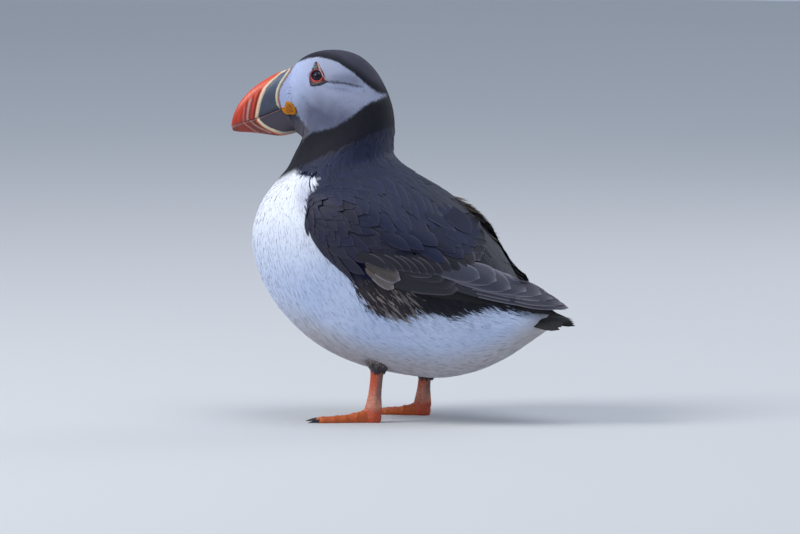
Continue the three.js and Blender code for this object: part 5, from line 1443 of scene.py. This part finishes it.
def build_rosettes():
    """The wrinkled orange skin at each corner of the mouth, a blunt wedge with slanting folds."""
    outline = np.array([(-4.9, -0.5), (-3.4, 1.9), (-1.5, 3.7), (1.0, 2.9), (2.9, 1.0), (4.7, -2.0), (4.6, -3.7), (1.2, -3.9), (-2.4, -3.7), (-4.1, -2.2)])
    oa = np.arctan2(outline[:, 1], outline[:, 0])
    order = np.argsort(oa)
    oa, orad = oa[order], np.hypot(*outline.T)[order]
    for side in (1, -1):
        n, m = 90, 120
        th = np.linspace(0.0, math.pi, n)[:, None]
        ph = np.linspace(0, 2 * math.pi, m, endpoint=False)[None]
        reach = np.interp((ph + math.pi) % (2 * math.pi) - math.pi, np.concatenate([oa - 2 * math.pi, oa, oa + 2 * math.pi]), np.tile(orad, 3))
        s_ = np.sin(th)
        dy, dz, dx = reach * s_ * np.cos(ph), reach * s_ * np.sin(ph), np.cos(th) + 0 * ph
        # folds run down from the front towards the rear corner
        lane = dy * 0.62 + dz * 0.98 + 0.25 * np.sin(dy * 1.1)
        fold = np.sin(lane * 3.1) * np.clip(dx, 0, 1) ** 0.5 * smooth(1.0, 0.7, s_ + 0 * ph)
        rim = np.exp(-((s_ + 0 * ph - 0.88) / 0.10) ** 2) * (dx > -0.1)
        dx = np.sign(dx) * np.abs(dx) ** 0.8
        p = np.stack([dx * 1.75 + 0.14 * fold + 0.16 * rim, dy * (1 + 0.02 * rim), dz * (1 + 0.02 * rim)], -1)
        b = math.radians(-30)
        x, y, z = p[..., 0], p[..., 1], p[..., 2]
        x, y = x * math.cos(b) - y * math.sin(b), x * math.sin(b) + y * math.cos(b)
        P = np.stack([x + 9.0, y - 65.1, z + 178.1], -1)
        base = blendc(np.broadcast_to(B["yellow"], (n * m, 3)), B["amber"], smooth(-3.5, 3.5, dy - 0.4 * dz).ravel() * 0.85)
        # painted shade darkens the troughs of the folds
        base = blendc(base, B["fold_shade"], (smooth(-0.2, -0.95, fold).ravel()) * 0.6)
        base = blendc(base, B["rim"], rim.ravel() * 0.6)
        v = P.reshape(-1, 3) * np.array([side, 1, 1])
        i, j = np.meshgrid(np.arange(n - 1), np.arange(m), indexing="ij")
        f = np.stack([i * m + j, (i + 1) * m + j, (i + 1) * m + (j + 1) % m, i * m + (j + 1) % m], -1).reshape(-1, 4)
        if side < 0:
            f = f[:, ::-1]
        ob = make_mesh("rosette_skin_" + ("left" if side > 0 else "right"), turned(v, HEAD_TURN), [f], dict(tone=base), mat=M_ROSETTE)
        weld(ob)
        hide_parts("rosette_" + ("left" if side > 0 else "right"))


def weld(ob):
    """Joins coinciding points, such as those at a ball's poles, and drops faces with no area."""
    import bmesh
    bm = bmesh.new()
    bm.from_mesh(ob.data)
    bmesh.ops.remove_doubles(bm, verts=bm.verts, dist=2e-6)
    bmesh.ops.dissolve_degenerate(bm, edges=bm.edges, dist=1e-7)
    bm.to_mesh(ob.data)
    bm.free()


# ------------------------------------------------------------------ eyes
E = {k: lin(v) for k, v in dict(pupil="#050507", iris="#161c33", irisrim="#241f38", ring="#74102a", ringlow="#dd3a24", crimson="#64101f", plate="#3f4845", platelow="#222836", patch="#3a1a26", peach="#d8aea2", dark="#1c1a24").items()}
EY, EZ = -49.2, 196.5


def face_base(y, z):
    b = side_x(y, z)
    gy, gz = (side_x(y + 1, z) - side_x(y - 1, z)) / 2, (side_x(y, z + 1) - side_x(y, z - 1)) / 2
    return np.stack([b, y, z], 1), unit(np.stack([np.ones_like(gy), -gy, -gz], 1))


def face_point(base, off, side):
    """A point of the face over a side-view place, raised by off."""
    p = base[0] + base[1] * np.asarray(off)[:, None]
    return turned(p * [side, 1, 1], HEAD_TURN)


def eye_mat():
    m, nt, bs = new_mat("eye_ball")
    tone = attr(nt, "tone")
    tc = node(nt, "ShaderNodeTexCoord")
    n1 = node(nt, "ShaderNodeTexNoise", i_Scale=2600.0, i_Detail=3.0)
    nt.links.new(tc.outputs["Object"], n1.inputs["Vector"])
    c = mix_rgb(nt, "MULTIPLY", 1.0, tone.outputs["Color"], ramp(nt, n1.outputs["Fac"], [(0.3, (0.6,) * 3), (0.7, (1.3,) * 3)]))
    nt.links.new(c, bs.inputs["Base Color"])
    bs.inputs["Roughness"].default_value = 0.3
    bs.inputs["Coat Weight"].default_value = 0.12
    bs.inputs["Coat Roughness"].default_value = 0.03
    bs.inputs["Specular IOR Level"].default_value = 0.22
    return m


M_EYE = eye_mat()
M_LID = flesh_mat("eyelid_skin", 0.4, 1600, 0.5)


def build_eyes():
    R, sunk, under = 3.95, 2.75, None
    for side in (1, -1):
        tag = "left" if side > 0 else "right"
        yc, zc = np.array([EY]), np.array([EZ])
        b = side_x(yc, zc)[0]
        gy, gz = (side_x(yc + 1, zc) - side_x(yc - 1, zc))[0] / 2, (side_x(yc, zc + 1) - side_x(yc, zc - 1))[0] / 2
        nrm = np.array([1, -gy, -gz]); nrm /= np.linalg.norm(nrm)
        look = unit(nrm * 0.75 + np.array([0.3, -0.05, 0.0]))
        e1 = unit(np.cross([0, 0, 1.0], look)); e2 = np.cross(look, e1)
        n, m = 72, 96
        th = (np.linspace(0, 1, n) ** 1.25 * math.pi)[:, None]
        ph = np.linspace(0, 2 * math.pi, m, endpoint=False)[None]
        bulge = 1 + 0.05 * np.exp(-(th / 0.42) ** 2)
        q = look * (np.cos(th) * bulge)[..., None] + (e1 * np.cos(ph)[..., None] + e2 * np.sin(ph)[..., None]) * (np.sin(th) * bulge)[..., None]
        c = np.array([b, EY, EZ]) - nrm * sunk
        P = c + q * R
        rr = np.broadcast_to(np.sin(th) * R * (np.cos(th) > 0) + 9 * (np.cos(th) <= 0), q.shape[:2]).ravel()
        col = blendc(np.broadcast_to(E["pupil"], (n * m, 3)), E["iris"], smooth(1.35, 1.55, rr))
        col = blendc(col, E["irisrim"], smooth(2.1, 2.6, rr) * 0.6)
        col = blendc(col, E["dark"], smooth(2.8, 3.1, rr))
        v = P.reshape(-1, 3) * [side, 1, 1]
        i, j = np.meshgrid(np.arange(n - 1), np.arange(m), indexing="ij")
        f = np.stack([i * m + j, (i + 1) * m + j, (i + 1) * m + (j + 1) % m, i * m + (j + 1) % m], -1).reshape(-1, 4)
        if side < 0:
            f = f[:, ::-1]
        ob = make_mesh("eyeball_" + tag, turned(v, HEAD_TURN), [f], dict(tone=col), mat=M_EYE)
        weld(ob)
        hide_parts("eye_" + tag)
        # the bare skin round it: lids, horny plates and their rims, sculpted as one closed patch
        ny, nz = 98, 122
        Y, Z = np.meshgrid(np.linspace(-55.2, -41.6, ny), np.linspace(188.2, 205.8, nz), indexing="ij")
        y, z = Y.ravel(), Z.ravel()
        a, c2 = y - EY, z - EZ
        ang = np.arctan2(c2, a)
        rad = np.hypot(a / 1.04, c2 / 0.97)
        TRI = [(-49.9, 204.0), (-51.2, 201.0), (-52.6, 197.8), (-53.4, 195.0), (-53.1, 192.2), (-52.2, 190.9), (-49.5, 191.3), (-46.5, 192.1), (-43.7, 193.3), (-44.6, 195.0), (-45.6, 197.6), (-47.0, 200.2), (-48.6, 203.2)]
        inn = inside(y, z, TRI)
        inn = inn + 0.12 * noise(np.stack([y, z], 1), 1.3, 6)
        h = np.where(inn > 0, 0.15 * smooth(0, 0.8, inn), -0.9 * smooth(0, 1.4, -inn))
        col = np.broadcast_to(E["patch"], (len(y), 3))
        crim = smooth(6.6, 3.4, rad)
        col = blendc(col, E["crimson"], crim * 0.9)
        # lid ring
        ring = bell(rad, 3.2, 0.42)
        low = smooth(-0.1, -0.75, np.sin(ang))
        thick = 1 + 0.35 * low
        h = h + 0.62 * bell(rad, 3.3, 0.55 * 1)
        rc = blendc(np.broadcast_to(E["ring"], (len(y), 3)), E["ringlow"], low)
        rc = blendc(rc, E["ringlow"], smooth(0.35, 0.9, np.cos(ang)) * 0.35)
        col = col * (1 - smooth(0.35, 0.8, ring)[:, None]) + rc * smooth(0.35, 0.8, ring)[:, None]
        # plates
        upper = inside(y, z, [(-49.8, 203.9), (-51.7, 200.3), (-50.6, 199.9), (-48.9, 200.2), (-48.6, 201.2)])
        lower = inside(y, z, [(-52.6, 191.7), (-52.4, 190.6), (-48.1, 191.0), (-44.2, 192.6), (-43.6, 193.4), (-48.1, 192.4), (-50.5, 191.9)])
        for pl, cc, hh in ((upper, "plate", 0.55), (lower, "platelow", 0.5)):
            k = smooth(-0.2, 0.2, pl)
            col = blendc(col, E[cc], k)
            h = h + hh * smooth(-0.35, 0.45, pl)
        # pale rim along the rear edge
        rim, _ = ahead_of(y, z, [(-48.6, 203.4), (-47.3, 199.6), (-45.7, 196.4), (-44.0, 194.2)])
        col = blendc(col, E["peach"], bell(rim, 0, 0.36) * 0.9)
        # a painted highlight along the lower edge of the lid ring
        col = blendc(col, E["peach"], bell(rad, 3.95, 0.28) * smooth(-0.55, -0.85, np.sin(ang)) * 0.55)
        h = h + 0.22 * bell(rim, 0, 0.4)
        wr = np.sin(ang * 26 + rad * 1.4) * bell(rad, 4.0, 0.7)
        h = h + 0.05 * wr
        h = h - 2.6 * smooth(2.95, 2.2, rad)
        if under is None:
            under = face_base(y, z)
        top = face_point(under, h + 0.05, side)
        bot = face_point(under, np.minimum(h - 0.6, -1.9), side)
        i, j = np.meshgrid(np.arange(ny - 1), np.arange(nz - 1), indexing="ij")
        q = np.stack([i * nz + j, (i + 1) * nz + j, (i + 1) * nz + j + 1, i * nz + j + 1], -1).reshape(-1, 4)
        N = ny * nz
        loop = np.concatenate([np.arange(ny) * nz, (ny - 1) * nz + np.arange(1, nz), (np.arange(ny)[::-1] * nz + nz - 1)[1:], np.arange(nz)[::-1][1:-1]])
        nx = np.roll(loop, -1)
        wall = np.stack([loop, loop + N, nx + N, nx], 1)
        F = [q, q[:, ::-1] + N, wall]
        if side < 0:
            F = [g[:, ::-1] for g in F]
        make_mesh("eyelids_" + tag, np.vstack([top, bot]), F, dict(tone=np.vstack([col, col])), mat=M_LID)


# ------------------------------------------------------------------ legs
LEGS = {1: dict(top=(23.5, -4.2, 38.0), low=(24.5, -7.4, 6.0), out=9), -1: dict(top=(-23.5, 8.0, 38.0), low=(-24.5, 4.8, 6.0), out=7)}
TOES = [("inner", -19, 26.5, 2.0), ("middle", 0, 33.5, 2.2), ("outer", 18, 31.5, 2.1)]


def tube(rings):
    return closed_grid(np.array(rings))


def toe_ring(cx, cy, d, w, h, m=20):
    px = np.array([-d[1], d[0]])
    a = np.linspace(0, math.pi, m - 2)
    pts = [np.array([cx + px[0] * w * 0.8, cy + px[1] * w * 0.8, 0.0])]
    for t in a:
        pts.append(np.array([cx + px[0] * w * math.cos(t), cy + px[1] * w * math.cos(t), 0.35 * h + 0.65 * h * math.sin(t)]))
    pts.append(np.array([cx - px[0] * w * 0.8, cy - px[1] * w * 0.8, 0.0]))
    return pts


def build_legs():
    for side, g in LEGS.items():
        tag = "left" if side > 0 else "right"
        top, low = np.array(g["top"]), np.array(g["low"])
        shells = []
        rings = []
        for k in np.linspace(-0.02, 1.0, 60):
            c = low + (top - low) * k
            swell = 1 + 0.40 * math.exp(-(((k - 0.87) / 0.11) ** 2)) + 0.26 * math.exp(-((k / 0.22) ** 2)) - 0.13 * math.sin(math.pi * k)
            ring = []
            for a in np.linspace(0, 2 * math.pi, 40, endpoint=False):
                # flat sides, a rounded front and a thin keel behind
                fx = abs(math.cos(a)) ** 0.85 * np.sign(math.cos(a))
                ring.append([c[0] + fx * 2.75 * (0.6 + 0.4 * swell) * (0.86 if math.sin(a) > 0.55 else 1), c[1] + math.sin(a) * 4.2 * swell, c[2]])
            rings.append(ring)
        shells.append(tube(rings))
        head = math.radians(g["out"]) * side
        heel = np.array([low[0], low[1] + 0.4])
        tips = []
        joints = {"inner": (0.42, 0.8), "middle": (0.36, 0.64, 0.88), "outer": (0.3, 0.52, 0.72, 0.9)}
        for name, ta, ln, w0 in TOES:
            t = head + math.radians(ta) * side
            d = (math.sin(t), -math.cos(t))
            r = []
            for k in np.linspace(0, 1, 50):
                knob = sum(math.exp(-((k - j) / 0.035) ** 2) for j in joints[name])
                w = w0 * (1.1 - 0.34 * k) * (0.93 + 0.14 * knob) * (1 if k < 0.95 else 1 - (k - 0.95) * 6)
                h = (2.5 + 3.2 * (1 - k) ** 1.1 + 6.2 * (1 - k) ** 5) * (0.95 + 0.1 * knob) * (1 if k < 0.95 else 1 - (k - 0.95) * 5)
                r.append(toe_ring(heel[0] + d[0] * ln * k, heel[1] + d[1] * ln * k, d, w, h))
            shells.append(tube(r))
            tips.append((heel[0] + d[0] * ln, heel[1] + d[1] * ln, d))
        # webs: thin between the toes, scalloped along the front
        for a, b in ((0, 1), (1, 2)):
            A, Bp = np.array(tips[a][:2]), np.array(tips[b][:2])
            r = []
            for u in np.linspace(0.08, 0.93, 40):
                row_t, row_b = [], []
                for q in np.linspace(0, 1, 15):
                    sag = 1 - 0.13 * math.sin(math.pi * q) * (u / 0.93) ** 3
                    p = heel + ((A - heel) * (1 - q) + (Bp - heel) * q) * u * sag
                    h = 1.05 + 0.5 * abs(2 * q - 1) ** 2 + 0.12 * math.sin(q * 16 + u * 30)
                    row_t.append([p[0], p[1], h * (1 - 0.35 * u)])
                    row_b.append([p[0], p[1], 0.0])
                r.append(row_t + row_b[::-1])
            shells.append(tube(r))
        rings = []
        for z, k in ((0, 0.82), (0.5, 0.95), (1.2, 1.0), (3, 1.06), (5.4, 1.02), (8.6, 0.98), (10.5, 0.8)):
            rings.append([[heel[0] + math.cos(a) * 3.4 * k, heel[1] + math.sin(a) * 4.7 * k - 0.4, z] for a in np.linspace(0, 2 * math.pi, 40, endpoint=False)])
        shells.append(tube(rings))
        V, F, base = [], [], 0
        for v, f in shells:
            V.append(v)
            for q in f:
                F.append(q + base)
            base += len(v)
        rough = make_mesh("leg_rough", np.vstack(V), F)
        ob = remeshed(rough, 0.38, 2)
        me = ob.data
        co = np.zeros(len(me.vertices) * 3, np.float32)
        me.vertices.foreach_get("co", co)
        p = co.reshape(-1, 3).astype(float) / MM - SHIFT
        nb = np.zeros(len(me.vertices) * 3, np.float32)
        me.vertices.foreach_get("normal", nb)
        nb = nb.reshape(-1, 3)
        z = p[:, 2]
        k = np.clip((z - low[2]) / (top[2] - low[2]), 0, 1)
        ax = low + (top - low) * k[:, None]
        rear = p[:, 1] - ax[:, 1]
        shank = smooth(7.5, 11, z)
        # broad scutes down the front and outer side, fine net of scales elsewhere
        scute = np.abs(((z / 2.1 + 0.12 * np.sin(p[:, 0] * 2)) % 1.0) - 0.5) * 2
        groove = smooth(0.82, 1.0, scute) * smooth(1.0, -1.0, rear) * shank
        dist = np.hypot(p[:, 0] - heel[0], p[:, 1] - heel[1])
        onfoot = smooth(10, 7, z) * smooth(3.5, 6, dist)
        ring_ = np.abs(((dist / 1.55) % 1.0) - 0.5) * 2
        toe_h = np.zeros(len(p))
        lateral = np.full(len(p), 9.0)
        for name, ta, ln, w0 in TOES:
            t = head + math.radians(ta) * side
            d = np.array([math.sin(t), -math.cos(t)])
            rel = p[:, :2] - heel
            al = rel @ d
            la = np.abs(rel @ np.array([-d[1], d[0]]))
            lateral = np.where((al > 0) & (al < ln + 1), np.minimum(lateral, la / (w0 * 1.0)), lateral)
        ontoe = smooth(1.25, 0.85, lateral)
        gr2 = smooth(0.78, 1.0, ring_) * onfoot * ontoe * (z > 0.6)
        wrinkle = bell(z, 8.6, 2.6) * np.sin(z * 4.5 + p[:, 1] * 1.2) * smooth(2.5, -1.5, rear)
        net = noise(p, 2.6, 12)
        disp = -0.26 * groove - 0.2 * gr2 + 0.2 * wrinkle + 0.05 * net * smooth(0.4, 1.0, z)
        disp *= smooth(0.15, 0.7, z)
        p2 = p + nb * disp[:, None]
        p2[:, 2] = np.where(z < 0.35, 0.0, np.maximum(p2[:, 2], 0))
        me.vertices.foreach_set("co", ((p2 + SHIFT) * MM).astype(np.float32).ravel())
        col = blendc(np.broadcast_to(B["leg"], (len(p), 3)), B["legpale"], (smooth(5, 10, z) * smooth(24, 11, z) * 0.85 + 0.15 * noise(p, 0.8, 9)).clip(0, 1))
        # painted shade: the leg darkens towards the top, where it goes in under the thigh feathers
        col = col * (1 - 0.4 * smooth(24, 34, z))[:, None]
        col = blendc(col, B["legrear"], smooth(0.6, 3.0, rear + 0.5 * net) * smooth(8, 17, z) * 0.85)
        # painted shade darkens the scute grooves, the ring grooves across the toes and the troughs of the ankle
        # wrinkles
        col = blendc(col, B["legdark"], np.clip(groove + gr2 + smooth(0.2, -0.8, wrinkle / 1.0) * 0.5 * bell(z, 8.6, 3), 0, 1) * 0.55)
        col = blendc(col, B["web"], onfoot * ontoe * 0.9)
        col = blendc(col, B["webdark"], onfoot * (1 - ontoe) * 0.9)
        col = blendc(col, B["legdark"], smooth(0.8, 0.1, z) * 0.6)
        at = me.color_attributes.new("tone", "FLOAT_COLOR", "POINT")
        at.data.foreach_set("color", np.hstack([np.clip(col, 0, 1), np.ones((len(col), 1))]).astype(np.float32).ravel())
        ob.name = me.name = "leg_and_foot_" + tag
        me.materials.append(M_LEG)
        me.update()
        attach(ob, "root")
        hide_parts("leg_" + tag, "foot_" + tag)
        # claws
        for (name, ta, ln, w0), (tx, ty, d) in zip(TOES, tips):
            r = []
            for k in np.linspace(0, 1, 30):
                dist = -1.2 + (5.95 + 1.2) * k
                bend = side * 0.5 * k * k * (-1 if name == "inner" else 0.3)
                h = 2.35 * (1 - k ** 1.3 * 0.9) * (0.75 + 0.25 * min(1, k * 6))
                w = 1.12 * (1 - k ** 1.2 * 0.87) * (0.8 + 0.2 * min(1, k * 6))
                cx, cy = tx + d[0] * dist - d[1] * bend, ty + d[1] * dist + d[0] * bend
                px = np.array([-d[1], d[0]])
                ring = []
                for a in np.linspace(0, 2 * math.pi, 24, endpoint=False):
                    ca, sa = math.cos(a), math.sin(a)
                    zz = 0.42 * h + (0.58 * h * sa if sa > 0 else 0.42 * h * sa)
                    zz += 0.25 * math.sin(math.pi * k) * 0.6
                    ring.append([cx + px[0] * w * ca * (1 if sa > 0 else 0.8), cy + px[1] * w * ca * (1 if sa > 0 else 0.8), max(zz, 0.0)])
                r.append(ring)
            v, f = tube(r)
            tone = blendc(np.broadcast_to(B["claw"], (len(v), 3)), B["legrear"] * 0.5, smooth(2.2, 0.0, np.hypot(v[:, 0] - tx, v[:, 1] - ty)) * 0.5)
            ob = make_mesh("claw_" + name + "_" + tag + "_horn", v, f, dict(tone=tone, lane=np.hypot(v[:, 0] - tx, v[:, 1] - ty)), mat=M_CLAW)
            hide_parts("claw_" + name + "_" + tag)


build_bill()
build_cere()
build_rosettes()
build_eyes()
build_legs()

# ------------------------------------------------------------------ stage
def stage():
    me = bpy.data.meshes.new("floor")
    s = 6.0
    me.from_pydata([(-s, -s, 0), (s, -s, 0), (s, s, 0), (-s, s, 0)], [], [(0, 1, 2, 3)])
    fl = bpy.data.objects.new("floor", me)
    bpy.context.scene.collection.objects.link(fl)
    m, nt, bs = new_mat("floor_paper")
    nz = node(nt, "ShaderNodeTexNoise", i_Scale=3.0, i_Detail=6.0)
    nt.links.new(ramp(nt, nz.outputs["Fac"], [(0.3, (0.60, 0.605, 0.61)), (0.7, (0.66, 0.662, 0.665))]), bs.inputs["Base Color"])
    bs.inputs["Roughness"].default_value = 0.85
    me.materials.append(m)
    w = bpy.data.worlds.new("studio")
    w.use_nodes = True
    bg = w.node_tree.nodes["Background"]
    bg.inputs[0].default_value = (0.70, 0.81, 1.0, 1)
    bg.inputs[1].default_value = 0.55
    bpy.context.scene.world = w
    for name, loc, size, power, colour in (("key", (1.1, -1.6, 1.7), 1.1, 38, (1.0, 0.985, 0.965)), ("top", (0.2, 0.5, 2.2), 1.6, 16, (0.93, 0.96, 1.0)), ("fill", (-1.6, 0.9, 0.9), 1.2, 7, (0.95, 0.97, 1.0))):
        li = bpy.data.lights.new(name, "AREA")
        li.shape = "DISK"
        li.size = size
        li.energy = power
        li.color = colour
        o = bpy.data.objects.new(name, li)
        o.location = loc
        o.rotation_euler = (Vector((0, 0, 0.1)) - Vector(loc)).to_track_quat("-Z", "Y").to_euler()
        bpy.context.scene.collection.objects.link(o)
    a, e = VIEW_AZ, VIEW_EL
    right = np.array([-math.sin(a), math.cos(a), 0])
    up = np.array([-math.cos(a) * math.sin(e), -math.sin(a) * math.sin(e), math.cos(e)])
    out = np.array([math.cos(a) * math.cos(e), math.sin(a) * math.cos(e), math.sin(e)])
    width = 800 / SCALE_PX * MM
    target = (right * (SHIFT[1] * math.cos(a)) + up * ((419 - 267) / SCALE_PX)) * MM
    pos = target + out * (LENS / 36 * width)
    cam = bpy.data.cameras.new("camera")
    cam.lens, cam.sensor_width = LENS, 36
    cam.clip_end = 50
    co = bpy.data.objects.new("camera", cam)
    co.location = pos
    co.rotation_euler = (-Vector(out)).to_track_quat("-Z", "Y").to_euler()
    bpy.context.scene.collection.objects.link(co)
    bpy.context.scene.camera = co
    bpy.context.scene.view_settings.view_transform = "Standard"


stage()
